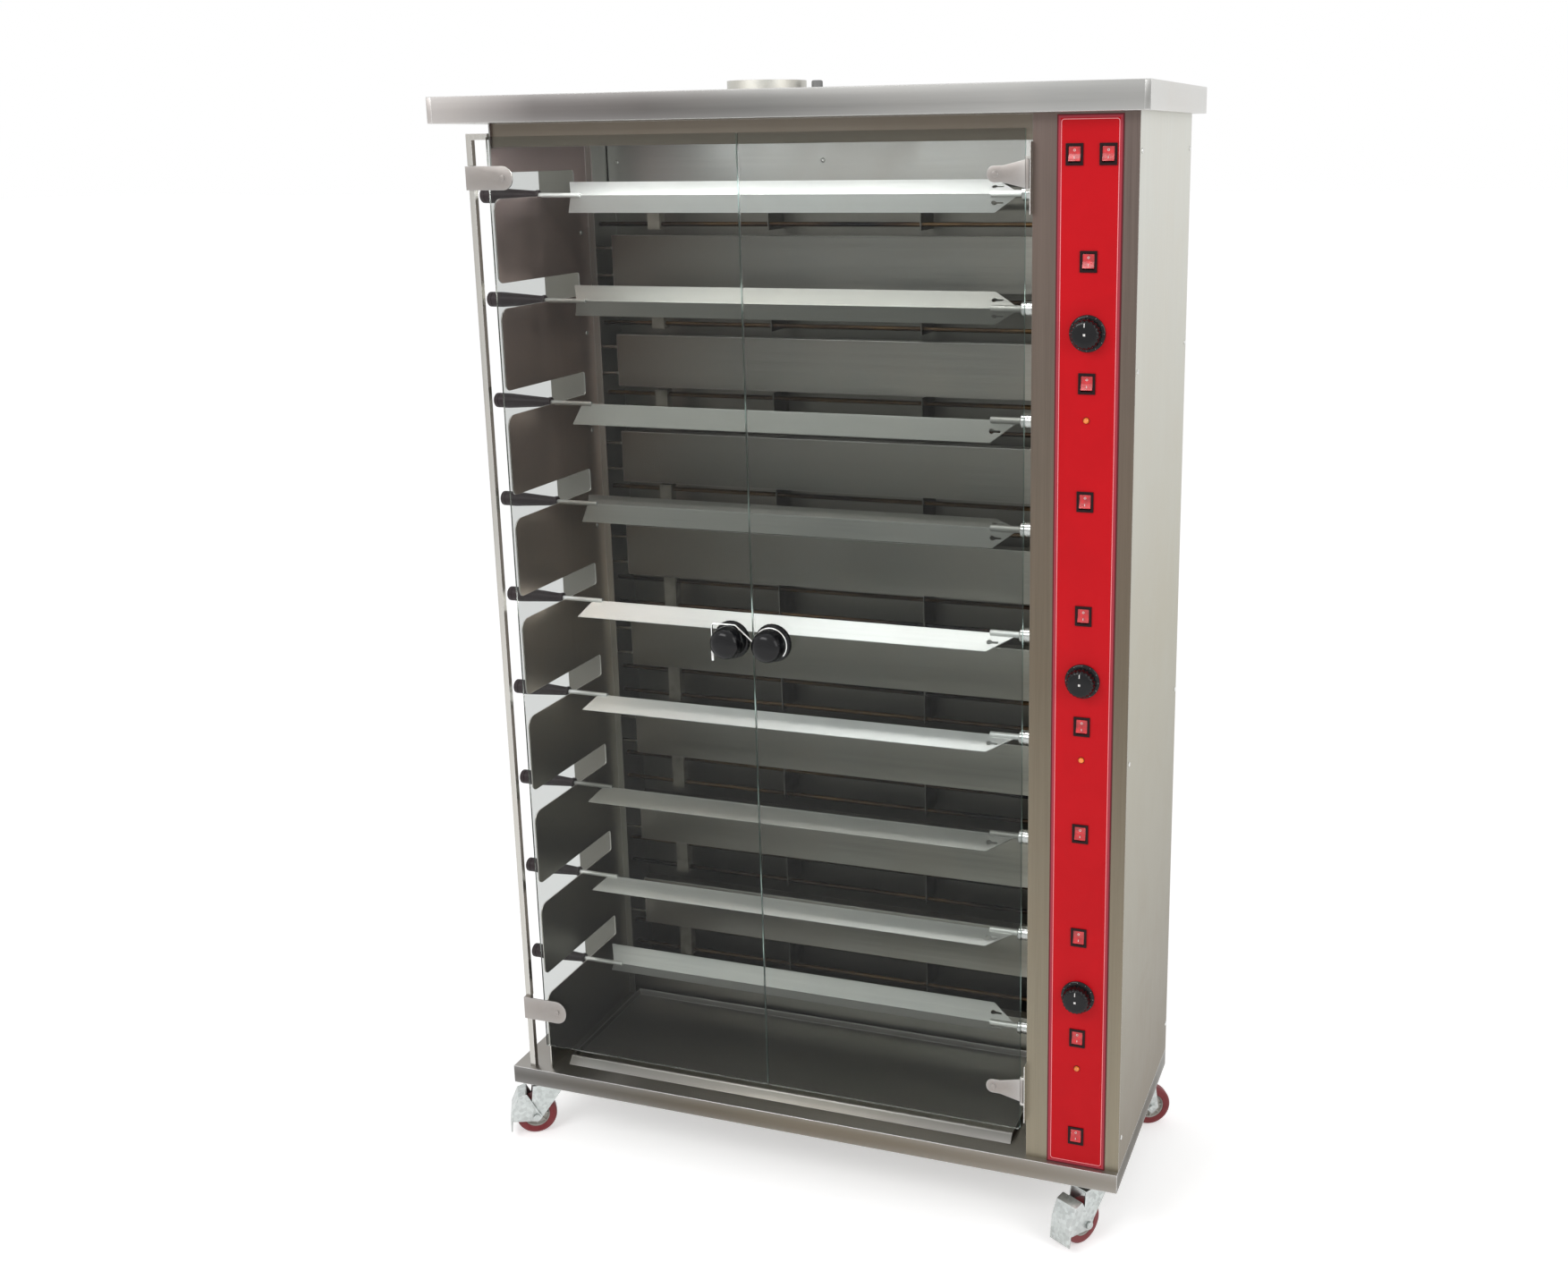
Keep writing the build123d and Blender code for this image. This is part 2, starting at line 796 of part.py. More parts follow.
# Lamp under the ceiling, behind the fascia
lamp_x = (comb_x + column_x) / 2
lamp_y = front_y + lamp_depth
lamp_base_z = ceiling_z - lamp_base_height
with BuildPart() as interior_lamp:
    with Locations((lamp_x, lamp_y, ceiling_z - lamp_base_height / 2)):
        Box(lamp_base_length, lamp_base_width, lamp_base_height)
    rod_x(
        lamp_x - lamp_tube_length / 2,
        lamp_x + lamp_tube_length / 2,
        lamp_y,
        lamp_base_z - lamp_tube_diameter / 2 + lamp_tube_seat,
        lamp_tube_diameter / 2,
    )
interior_lamp.part.label = "interior_lamp"
export_step(interior_lamp.part, "parts/interior_lamp.step")

# Canopy: a folded lid with a turned-in flange below and holes for the vent and the gland
gland_x = right_x - gland_inset
gland_bore_radius = gland_bore / 2
canopy_left = left_x - canopy_overhang
canopy_right = right_x + canopy_overhang
canopy_front = front_y - canopy_nose
canopy_back = back_y + canopy_overhang
canopy_plates = []
for box in pan_boxes(
    canopy_left,
    canopy_right,
    canopy_front,
    canopy_back,
    roof_z,
    canopy_top_z,
    sheet,
    canopy_flange,
):
    with BuildPart() as canopy_plate:
        block(*box)
        rod_z(vent_x, vent_y, canopy_top_z - sheet, canopy_top_z, spigot_radius, Mode.SUBTRACT)
        rod_z(
            gland_x, vent_y, canopy_top_z - sheet, canopy_top_z, gland_bore_radius, Mode.SUBTRACT
        )
    canopy_plates.append(canopy_plate.part)
canopy = Compound(children=canopy_plates)
canopy.label = "canopy"
export_step(canopy, "parts/canopy.step")

# Roof vent: a low ring on a spigot through the canopy, with spokes that carry the fan's motor
pod_bottom = canopy_top_z + vent_height - vent_pod_height
fan_bore = fan_shaft_diameter / 2 + shaft_clearance
with BuildPart() as roof_vent:
    rod_z(vent_x, vent_y, canopy_top_z, canopy_top_z + vent_height, vent_diameter / 2)
    rod_z(vent_x, vent_y, canopy_top_z - vent_spigot_drop, canopy_top_z, spigot_radius)
    rod_z(
        vent_x,
        vent_y,
        canopy_top_z - vent_spigot_drop,
        canopy_top_z + vent_height,
        spigot_bore,
        Mode.SUBTRACT,
    )
    spoke_z = canopy_top_z + vent_height - vent_spoke_height / 2
    with Locations((vent_x, vent_y, spoke_z)):
        Box(vent_spigot_diameter, vent_spoke_width, vent_spoke_height)
        Box(vent_spoke_width, vent_spigot_diameter, vent_spoke_height)
    rod_z(vent_x, vent_y, pod_bottom, canopy_top_z + vent_height, vent_pod_radius)
    rod_z(vent_x, vent_y, pod_bottom, pod_bottom + fan_shaft_grip, fan_bore, Mode.SUBTRACT)
roof_vent.part.label = "roof_vent"
export_step(roof_vent.part, "parts/roof_vent.step")

# Fan rotor under the motor
hub_top = pod_bottom - seat_gap
hub_middle = hub_top - fan_hub_height / 2
fan_shaft_end = pod_bottom + fan_shaft_grip - fan_shaft_end_gap
blade_tip = spigot_bore - fan_tip_gap
blade_root = fan_hub_radius - fan_blade_grip
with BuildPart() as fan_rotor:
    rod_z(vent_x, vent_y, hub_top - fan_hub_height, hub_top, fan_hub_radius)
    rod_z(vent_x, vent_y, hub_top, fan_shaft_end, fan_shaft_diameter / 2)
    for i in range(fan_blade_count):
        turn = 360 * i / fan_blade_count
        with Locations(Location((vent_x, vent_y, hub_middle), (0, 0, turn))):
            with Locations(
                Location(((blade_tip + blade_root) / 2, 0, 0), (fan_blade_pitch, 0, 0))
            ):
                Box(blade_tip - blade_root, fan_blade_chord, fan_blade_sheet)
fan_rotor.part.label = "fan_rotor"
export_step(fan_rotor.part, "parts/fan_rotor.step")

# Cable gland on the canopy
with BuildPart() as cable_gland:
    with BuildSketch(Plane.XY.offset(canopy_top_z)):
        with Locations((gland_x, vent_y)):
            RegularPolygon(gland_hex / 2, 6, major_radius=False)
    extrude(amount=gland_hex_height)
    rod_z(gland_x, vent_y, canopy_top_z, canopy_top_z + gland_height, gland_dome_radius)
    fillet(cable_gland.edges().group_by(Axis.Z)[-1], gland_dome_radius / 3)
    rod_z(
        gland_x,
        vent_y,
        canopy_top_z,
        canopy_top_z + gland_height,
        gland_bore_radius,
        Mode.SUBTRACT,
    )
cable_gland.part.label = "cable_gland"
export_step(cable_gland.part, "parts/cable_gland.step")

# Column shell: the bulkhead beside the cavity and the front sheet behind the control plate
shaft_radius = drive_shaft_diameter / 2
cutout_width = switch_body_width + 2 * switch_cutout_gap
cutout_height = switch_body_height + 2 * switch_cutout_gap
bush_radius = thermostat_bush_diameter / 2
lamp_body_radius = lamp_body_diameter / 2


def cut_panel_openings(y0, y1):
    """Cut the openings for rockers, thermostats and lamps between two depths."""
    for x, z in rockers.values():
        with Locations((x, (y0 + y1) / 2, z)):
            Box(cutout_width, y1 - y0, cutout_height, mode=Mode.SUBTRACT)
    for z in thermostat_heights:
        rod_y(panel_x, y0, y1, z, bush_radius, Mode.SUBTRACT)
    for z in lamp_heights:
        rod_y(panel_x, y0, y1, z, lamp_body_radius, Mode.SUBTRACT)


with BuildPart() as column_front:
    block(column_x, right_x, front_y, front_y + sheet, deck_z, roof_z)
    cut_panel_openings(front_y, front_y + sheet)
with BuildPart() as bulkhead:
    block(column_x, column_x + sheet, front_y + sheet, panel_back_y, deck_z, roof_z)
    for z in spit_levels:
        rod_x(
            column_x,
            column_x + sheet,
            spit_y,
            z,
            shaft_radius + bulkhead_hole_gap,
            Mode.SUBTRACT,
        )
with BuildPart() as column_return:
    block(
        right_x - 2 * sheet,
        right_x - sheet,
        front_y + sheet,
        front_y + sheet + column_flange,
        deck_z,
        roof_z,
    )
    for screw_y, screw_z in side_screw_places:
        rod_x(right_x - 2 * sheet, right_x - sheet, screw_y, screw_z, screw_radius, Mode.SUBTRACT)
column_shell = Compound(children=[column_front.part, bulkhead.part, column_return.part])
column_shell.label = "column_shell"
export_step(column_shell, "parts/column_shell.step")

# Right side panel
with BuildPart() as right_side_panel:
    block(right_x - sheet, right_x, front_y + sheet, panel_back_y, deck_z, roof_z)
    for screw_y, screw_z in side_screw_places:
        rod_x(right_x - sheet, right_x, screw_y, screw_z, screw_radius, Mode.SUBTRACT)
right_side_panel.part.label = "right_side_panel"
export_step(right_side_panel.part, "parts/right_side_panel.step")

# Control plate on the column's face
plate_right = right_x - plate_right_inset
with BuildPart() as control_plate:
    block(
        plate_right - plate_width,
        plate_right,
        plate_front_y,
        front_y,
        deck_z,
        roof_z - plate_top_gap,
    )
    cut_panel_openings(plate_front_y, front_y)
control_plate.part.label = "control_plate"
export_step(control_plate.part, "parts/control_plate.step")

# Rocker switch bodies and thermostat bodies
bezel_front_y = plate_front_y - bezel_thickness
pivot_y = front_y + rocker_pivot_depth
pivot_radius = rocker_pivot_diameter / 2
switch_back_y = plate_front_y + switch_body_depth
switch_pieces = []
for x, z in rockers.values():
    with BuildPart() as switch_body:
        with Locations((x, (bezel_front_y + plate_front_y) / 2, z)):
            Box(bezel_width, bezel_thickness, bezel_height)
        with Locations((x, (plate_front_y + switch_back_y) / 2, z)):
            Box(switch_body_width, switch_body_depth, switch_body_height)
        with Locations((x, bezel_front_y + rocker_opening_depth / 2, z)):
            Box(
                rocker_opening_width,
                rocker_opening_depth,
                rocker_opening_height,
                mode=Mode.SUBTRACT,
            )
        rod_x(
            x - switch_body_width / 2,
            x + switch_body_width / 2,
            pivot_y,
            z,
            pivot_radius + shaft_clearance,
            Mode.SUBTRACT,
        )
        for step in (-1, 0, 1):
            tab_z = z + step * terminal_tab_spacing / 2
            with Locations((x, switch_back_y + terminal_tab_length / 2, tab_z)):
                Box(terminal_tab_width, terminal_tab_length, terminal_tab_sheet)
    switch_pieces.append(switch_body.part)
thermostat_back_y = front_y + sheet + thermostat_body_depth
dial_shaft_radius = thermostat_shaft_diameter / 2
for z in thermostat_heights:
    with BuildPart() as thermostat:
        block(
            panel_x - thermostat_body / 2,
            panel_x + thermostat_body / 2,
            front_y + sheet,
            thermostat_back_y,
            z - thermostat_body / 2,
            z + thermostat_body / 2,
        )
        rod_y(panel_x, plate_front_y, front_y + sheet, z, bush_radius)
        rod_y(
            panel_x,
            plate_front_y,
            front_y + thermostat_shaft_depth + thermostat_bore_gap,
            z,
            dial_shaft_radius + shaft_clearance,
            Mode.SUBTRACT,
        )
    switch_pieces.append(thermostat.part)
switches = Compound(children=switch_pieces)
switches.label = "switch_housings"
export_step(switches, "parts/switch_housings.step")

# Rockers, each tilted to its off side
for name, (x, z) in rockers.items():
    with BuildPart() as rocker:
        with BuildSketch(Plane.YZ.offset(x)):
            Polygon(
                (pivot_y - rocker_valley, z),
                (pivot_y - rocker_ridge, z + rocker_half_height),
                (pivot_y + rocker_back, z + rocker_half_height - rocker_bevel),
                (pivot_y + rocker_back, z - rocker_half_height + rocker_bevel),
                (pivot_y - rocker_ridge, z - rocker_half_height),
                align=None,
            )
        extrude(amount=rocker_width / 2, both=True)
        rod_x(
            x - switch_body_width / 2 + rocker_pin_gap,
            x + switch_body_width / 2 - rocker_pin_gap,
            pivot_y,
            z,
            pivot_radius,
        )
    tilted = rocker.part.rotate(Axis((x, pivot_y, z), (1, 0, 0)), -rocker_tilt)
    tilted.label = name
    export_step(tilted, f"parts/{name}.step")

# Thermostat knobs with their shafts
dial_back_y = plate_front_y - dial_gap
grip_front_y = dial_back_y - dial_thickness - dial_grip_length
for number, z in enumerate(thermostat_heights, 1):
    with BuildPart() as dial:
        rod_y(panel_x, grip_front_y, dial_back_y, z, dial_grip_radius)
        fillet(dial.edges().group_by(Axis.Y)[0], dial_top_fillet)
        with Locations(Location((panel_x, (grip_front_y + dial_back_y) / 2, z), (90, 0, 0))):
            with PolarLocations(dial_grip_radius + dial_flute_radius / 2, dial_flute_count):
                Cylinder(dial_flute_radius, dial_back_y - grip_front_y, mode=Mode.SUBTRACT)
        rod_y(panel_x, dial_back_y - dial_thickness, dial_back_y, z, dial_diameter / 2)
        rod_y(panel_x, dial_back_y, front_y + thermostat_shaft_depth, z, dial_shaft_radius)
    dial.part.label = f"thermostat_knob_{number}"
    export_step(dial.part, f"parts/thermostat_knob_{number}.step")

# Indicator lamps
lamp_pieces = []
for z in lamp_heights:
    with BuildPart() as pilot:
        rod_y(panel_x, plate_front_y - lamp_rim, plate_front_y, z, lamp_diameter / 2)
        with Locations((panel_x, plate_front_y - lamp_rim, z)):
            Sphere(lamp_body_radius)
        block(
            panel_x - lamp_diameter,
            panel_x + lamp_diameter,
            plate_front_y,
            front_y + lamp_diameter,
            z - lamp_diameter,
            z + lamp_diameter,
            Mode.SUBTRACT,
        )
        rod_y(panel_x, plate_front_y, front_y + lamp_body_depth, z, lamp_body_radius)
    lamp_pieces.append(pilot.part)
pilots = Compound(children=lamp_pieces)
pilots.label = "indicator_lamps"
export_step(pilots, "parts/indicator_lamps.step")

# Gear motors, one for each spit, on the column side of the bulkhead
gearbox_x = column_x + sheet
motor_pieces = []
for z in spit_levels:
    with BuildPart() as gear_motor:
        block(
            gearbox_x,
            gearbox_x + gearbox_length,
            spit_y - gearbox_size / 2,
            spit_y + gearbox_size / 2,
            z - gearbox_size / 2,
            z + gearbox_size / 2,
        )
        fillet(gear_motor.edges().filter_by(Axis.X), gearbox_size / 10)
        rod_x(
            gearbox_x + gearbox_length,
            gearbox_x + gearbox_length + motor_length,
            spit_y,
            z,
            motor_diameter / 2,
        )
        rod_x(
            gearbox_x,
            gearbox_x + drive_shaft_length + motor_bore_gap,
            spit_y,
            z,
            shaft_radius + shaft_clearance,
            Mode.SUBTRACT,
        )
    motor_pieces.append(gear_motor.part)
motors = Compound(children=motor_pieces)
motors.label = "gear_motors"
export_step(motors, "parts/gear_motors.step")

# Spits: handle, rod, folded bar, drive pin, and the socket with its drive shaft
bar_left = comb_x + bar_inset
bar_right = column_x - bar_tip_gap
socket_right = column_x - seat_gap
socket_left = socket_right - socket_length
handle_right = comb_x - handle_gap
handle_left = handle_right - handle_length
pin_end = socket_left + socket_depth
flange_reach = bar_flange * cos(radians(45))
key_x = bar_right - bar_tip_slant + key_inset
rod_left = handle_left + handle_end_cover
for number, (z, rest_angle) in enumerate(zip(spit_levels, spit_rest_angles), 1):
    with BuildPart() as bar:
        with BuildSketch(Plane.YZ.offset(bar_left)):
            with Locations((spit_y, z)):
                Rectangle(bar_flange, bar_sheet, align=(Align.MIN, Align.MAX), rotation=45)
                Rectangle(bar_flange, bar_sheet, align=(Align.MIN, Align.MIN), rotation=-45)
        extrude(amount=bar_right - bar_left)
        with BuildSketch(Plane.XY.offset(z)):
            Polygon(
                (bar_left - cut_margin, spit_y - cut_margin),
                (bar_left + bar_end_slant, spit_y - cut_margin),
                (bar_left + bar_end_slant, spit_y),
                (bar_left, spit_y + flange_reach),
                (bar_left - cut_margin, spit_y + flange_reach),
                align=None,
            )
            Polygon(
                (bar_right, spit_y),
                (bar_right - bar_tip_slant, spit_y + flange_reach),
                (bar_right - bar_tip_slant, spit_y + 2 * flange_reach),
                (bar_right + cut_margin, spit_y + 2 * flange_reach),
                (bar_right + cut_margin, spit_y),
                align=None,
            )
        extrude(amount=bar_flange, both=True, mode=Mode.SUBTRACT)
        for side in (-1, 1):
            centre = Location(
                (key_x, spit_y + flange_reach / 2, z + side * flange_reach / 2),
                (side * 45, 0, 0),
            )
            with Locations(centre):
                Cylinder(key_hole_diameter / 2, 4 * bar_sheet, mode=Mode.SUBTRACT)
                with Locations((key_slot_length / 2, 0, 0)):
                    Box(key_slot_length, key_slot_width, 4 * bar_sheet, mode=Mode.SUBTRACT)
        rod_x(rod_left, bar_left + 2 * bar_end_slant, spit_y, z, rod_radius)
        rod_x(bar_right - bar_tip_slant, pin_end, spit_y, z, drive_pin_diameter / 2)
    with BuildPart() as handle:
        with BuildSketch(Plane.XZ.offset(-spit_y)):
            with BuildLine():
                Polyline(
                    (handle_left, z),
                    (handle_left, z + handle_diameter / 2),
                    (handle_left + handle_length / 4, z + handle_diameter / 2),
                    (handle_right - handle_collar_length, z + handle_neck_diameter / 2),
                    (handle_right - handle_collar_length, z + handle_collar_diameter / 2),
                    (handle_right, z + handle_collar_diameter / 2),
                    (handle_right, z),
                    (handle_left, z),
                )
            make_face()
        revolve(axis=Axis((0, spit_y, z), (1, 0, 0)))
        fillet(handle.edges().group_by(Axis.X)[0], handle_diameter / 10)
        rod_x(rod_left, handle_right, spit_y, z, rod_radius, Mode.SUBTRACT)
    with BuildPart() as socket:
        rod_x(socket_left, socket_right, spit_y, z, socket_diameter / 2)
        fillet(socket.edges().group_by(Axis.X)[0], socket_fillet)
        rod_x(
            socket_left, pin_end, spit_y, z, drive_pin_diameter / 2, Mode.SUBTRACT
        )
        rod_x(socket_right, gearbox_x + drive_shaft_length, spit_y, z, shaft_radius)
    pieces = Compound(children=[bar.part, handle.part, socket.part])
    spit = pieces.rotate(Axis((0, spit_y, z), (1, 0, 0)), rest_angle)
    spit.label = f"spit_{number}"
    export_step(spit, f"parts/spit_{number}.step")

# Left door post with its top return, and the two hinge leaves beside the column
post_x = comb_x - post_inset - post_width / 2
post_y = front_y + post_depth
post_top = roof_z - post_top_drop
half_post = post_width / 2
neck_radius = post_neck_diameter / 2
left_spans = [
    (deck_z + level - height / 2, deck_z + level + height / 2)
    for level, height in zip(left_bracket_levels, left_bracket_heights)
]
right_spans = [
    (
        deck_z + level - right_bracket_root_height / 2,
        deck_z + level + right_bracket_root_height / 2,
    )
    for level in right_bracket_levels
]
knuckle_x = column_x - knuckle_standoff
knuckle_y = bracket_front_y + knuckle_depth
knuckle_pin_radius = knuckle_pin_diameter / 2
with BuildPart() as post:
    block(
        post_x - half_post,
        post_x + half_post,
        post_y - half_post,
        post_y + half_post,
        deck_z,
        post_top,
    )
    block(
        post_x,
        comb_x,
        post_y - half_post,
        post_y + half_post,
        post_top - post_width,
        post_top,
    )
    for low, high in left_spans:
        block(
            post_x - post_width,
            post_x + post_width,
            post_y - post_width,
            post_y + post_width,
            low - seat_gap,
            high + seat_gap,
            Mode.SUBTRACT,
        )
        rod_z(post_x, post_y, low - seat_gap, high + seat_gap, neck_radius)
hinge_pieces = [post.part]
for low, high in right_spans:
    leaf_middle = (low + high) / 2 - leaf_lift
    with BuildPart() as leaf:
        block(
            column_x - sheet,
            column_x,
            knuckle_y - knuckle_radius,
            front_y + leaf_depth,
            leaf_middle - leaf_height / 2,
            leaf_middle + leaf_height / 2,
        )
        for lug_low in (low - seat_gap - lug_height, high + seat_gap):
            rod_z(knuckle_x, knuckle_y, lug_low, lug_low + lug_height, knuckle_radius)
            block(
                knuckle_x,
                column_x - sheet,
                knuckle_y - knuckle_radius,
                knuckle_y + knuckle_radius,
                lug_low,
                lug_low + lug_height,
            )
        rod_z(
            knuckle_x,
            knuckle_y,
            low - seat_gap - lug_height,
            high + seat_gap + lug_height,
            knuckle_pin_radius,
        )
    hinge_pieces.append(leaf.part)
hinges = Compound(children=hinge_pieces)
hinges.label = "door_hinge_posts"
export_step(hinges, "parts/door_hinge_posts.step")

# Door glass, drilled for the bracket bolts and the knobs
glass_low = deck_z + glass_bottom
glass_high = roof_z - glass_top_drop
knob_z = deck_z + knob_level
bolt_radius = bolt_diameter / 2
left_glass_x = comb_x + left_glass_gap
right_glass_x = column_x - right_glass_gap
left_bracket_x = post_x - hinge_block_radius
left_bolts = [
    (left_bracket_x + left_bracket_length - bracket_bolt_inset, (low + high) / 2)
    for low, high in left_spans
]
right_bolts = [
    (knuckle_x - right_bracket_length + bracket_bolt_inset * 2 / 3, (low + high) / 2)
    for low, high in right_spans
]
panes = {
    "left_door_glass": (left_glass_x, split_x - door_split_gap / 2, left_bolts, -1),
    "right_door_glass": (split_x + door_split_gap / 2, right_glass_x, right_bolts, 1),
}
for name, (x0, x1, bolts, side) in panes.items():
    with BuildPart() as pane:
        block(x0, x1, glass_front_y, glass_back_y, glass_low, glass_high)
        fillet(pane.edges().filter_by(Axis.Y), glass_corner)
        for bolt_x, bolt_z in bolts:
            rod_y(bolt_x, glass_front_y, glass_back_y, bolt_z, bolt_radius, Mode.SUBTRACT)
        rod_y(
            split_x + side * knob_offset,
            glass_front_y,
            glass_back_y,
            knob_z,
            bolt_radius,
            Mode.SUBTRACT,
        )
    pane.part.label = name
    export_step(pane.part, f"parts/{name}.step")


def bracket_bolt(x, z):
    """A domed bolt through bracket and glass with its nut behind."""
    with BuildPart() as bolt:
        rod_y(x, bracket_front_y - bolt_head_height, bracket_front_y, z, bolt_head_diameter / 2)
        fillet(bolt.edges().group_by(Axis.Y)[0], bolt_head_height / 2)
        rod_y(x, bracket_front_y, glass_back_y, z, bolt_radius)
        rod_y(x, glass_back_y, glass_back_y + bolt_nut_height, z, bolt_nut_diameter / 2)
    return bolt.part


# Left door brackets, each with a hinge block round the post's neck
left_bracket_pieces = []
for (low, high), (bolt_x, bolt_z) in zip(left_spans, left_bolts):
    with BuildPart() as left_bracket:
        with BuildSketch(Plane.XZ.offset(-glass_front_y)):
            with Locations((left_bracket_x + left_bracket_length / 2, (low + high) / 2)):
                Rectangle(left_bracket_length, high - low)
        extrude(amount=bracket_sheet)
        fillet(
            left_bracket.edges().filter_by(Axis.Y).group_by(Axis.X)[-1], (high - low) / 2 - 1
        )
        block(
            left_bracket_x,
            left_bracket_x + 2 * hinge_block_radius,
            bracket_front_y,
            post_y,
            low,
            high,
        )
        rod_z(post_x, post_y, low, high, hinge_block_radius)
        rod_z(post_x, post_y, low, high, neck_radius + shaft_clearance, Mode.SUBTRACT)
        rod_y(bolt_x, bracket_front_y, glass_front_y, bolt_z, bolt_radius, Mode.SUBTRACT)
    left_bracket_pieces.append(left_bracket.part)
    left_bracket_pieces.append(bracket_bolt(bolt_x, bolt_z))
left_brackets = Compound(children=left_bracket_pieces)
left_brackets.label = "left_door_brackets"
export_step(left_brackets, "parts/left_door_brackets.step")

# Right door brackets, tapered towards the bolt, each with a knuckle round the leaf's pin
right_bracket_pieces = []
for (low, high), (bolt_x, bolt_z) in zip(right_spans, right_bolts):
    middle = (low + high) / 2
    bracket_left = knuckle_x - right_bracket_length
    with BuildPart() as right_bracket:
        with BuildSketch(Plane.XZ.offset(-glass_front_y)):
            Polygon(
                (knuckle_x, low),
                (knuckle_x, high),
                (bracket_left + right_bracket_end_height, middle + right_bracket_end_height / 2),
                (bracket_left, middle + right_bracket_end_height / 2),
                (bracket_left, middle - right_bracket_end_height / 2),
                (bracket_left + right_bracket_end_height, middle - right_bracket_end_height / 2),
                align=None,
            )
        extrude(amount=bracket_sheet)
        fillet(
            right_bracket.edges().filter_by(Axis.Y).group_by(Axis.X)[0],
            right_bracket_end_height / 2 - 1,
        )
        rod_z(knuckle_x, knuckle_y, low, high, knuckle_radius)
        rod_z(
            knuckle_x, knuckle_y, low, high, knuckle_pin_radius + shaft_clearance, Mode.SUBTRACT
        )
        rod_y(bolt_x, bracket_front_y, glass_front_y, bolt_z, bolt_radius, Mode.SUBTRACT)
    right_bracket_pieces.append(right_bracket.part)
    right_bracket_pieces.append(bracket_bolt(bolt_x, bolt_z))
right_brackets = Compound(children=right_bracket_pieces)
right_brackets.label = "right_door_brackets"
export_step(right_brackets, "parts/right_door_brackets.step")

# Door knobs: rosette, waist for the latch, domed cap, and the bolt through the glass
rosette_y = glass_front_y - rosette_length
waist_y = rosette_y - knob_neck_length
knob_front_y = glass_front_y - knob_length
for name, side in (("left_door_knob", -1), ("right_door_knob", 1)):
    x = split_x + side * knob_offset
    with BuildPart() as knob:
        rod_y(x, rosette_y, glass_front_y, knob_z, rosette_radius)
        fillet(knob.edges().group_by(Axis.Y)[0], rosette_fillet)
        rod_y(x, waist_y, rosette_y, knob_z, knob_neck_radius)
        with BuildPart(mode=Mode.PRIVATE) as cap:
            rod_y(x, knob_front_y, waist_y, knob_z, knob_cap_radius)
            fillet(cap.edges().group_by(Axis.Y)[0], knob_dome_radius)
            fillet(cap.edges().group_by(Axis.Y)[-1], knob_cap_fillet)
        add(cap.part)
        rod_y(x, glass_front_y, glass_back_y, knob_z, bolt_radius)
        rod_y(x, glass_back_y, glass_back_y + bolt_nut_height, knob_z, bolt_nut_diameter / 2)
    knob.part.label = name
    export_step(knob.part, f"parts/{name}.step")

# Wire latch: an open loop round the right knob's waist, an arm over the left one, and a tail
wire_radius = latch_wire / 2
latch_y = rosette_y - knob_neck_length / 2
loop_radius = knob_neck_radius + shaft_clearance + wire_radius
right_knob_x = split_x + knob_offset
left_knob_x = split_x - knob_offset
rest_height = knob_neck_radius + seat_gap + wire_radius
tail_x = left_knob_x - rest_height - latch_corner


def loop_point(angle):
    """Point of the latch's loop at an angle from +X towards +Z."""
    turn = radians(angle)
    return (
        right_knob_x + loop_radius * cos(turn),
        latch_y,
        knob_z + loop_radius * sin(turn),
    )


loop_joint = loop_point(latch_loop_start)
arm_corner = (left_knob_x + rest_height * latch_arm_lean, latch_y, knob_z + rest_height)
tail_corner = (tail_x, latch_y, knob_z + rest_height)
tail_end = (tail_x, latch_y, knob_z - latch_tail_drop + latch_tip_length)
with BuildPart() as door_latch:
    with BuildLine():
        ThreePointArc(
            loop_point(latch_loop_end),
            loop_point((latch_loop_end + latch_loop_start) / 2),
            loop_joint,
        )
    loop_start = loop_point(latch_loop_end)
    loop_normal = radians(latch_loop_end + 90)
    with BuildSketch(Plane(loop_start, z_dir=(cos(loop_normal), 0, sin(loop_normal)))):
        Circle(wire_radius)
    sweep()
    with BuildLine() as arm_path:
        FilletPolyline(loop_joint, arm_corner, tail_corner, tail_end, radius=latch_corner)
    arm_run = (arm_corner[0] - loop_joint[0], 0, arm_corner[2] - loop_joint[2])
    with BuildSketch(Plane(loop_joint, z_dir=arm_run)):
        Circle(wire_radius)
    sweep(path=arm_path.line)
    with Locations(loop_joint):
        Sphere(wire_radius)
    rod_z(
        tail_x,
        latch_y,
        knob_z - latch_tail_drop,
        knob_z - latch_tail_drop + latch_tip_length,
        latch_tip / 2,
    )
door_latch.part.label = "door_latch"
export_step(door_latch.part, "parts/door_latch.step")

# Drip tray with a sloped front lip, resting on the deck
tray_left = comb_x + tray_left_gap
tray_right = column_x - tray_right_gap
tray_z = deck_z + seat_gap
tray_top = tray_z + tray_height
tray_front_y = front_y + tray_front
tray_back_y = front_y + tray_back
lip_y = tray_front_y + tray_lip_depth
with BuildPart() as drip_tray:
    with BuildSketch(Plane.YZ.offset(tray_left)):
        Polygon(
            (tray_front_y, tray_z),
            (tray_back_y, tray_z),
            (tray_back_y, tray_top),
            (lip_y, tray_top),
            align=None,
        )
    extrude(amount=tray_right - tray_left)
    with BuildSketch(Plane.YZ.offset(tray_left + sheet)):
        Polygon(
            (tray_front_y + tray_lip_foot_wall, tray_z + sheet),
            (tray_back_y - sheet, tray_z + sheet),
            (tray_back_y - sheet, tray_top + sheet),
            (lip_y + tray_lip_top_wall, tray_top + sheet),
            align=None,
        )
    extrude(amount=tray_right - tray_left - 2 * sheet, mode=Mode.SUBTRACT)
drip_tray.part.label = "drip_tray"
export_step(drip_tray.part, "parts/drip_tray.step")

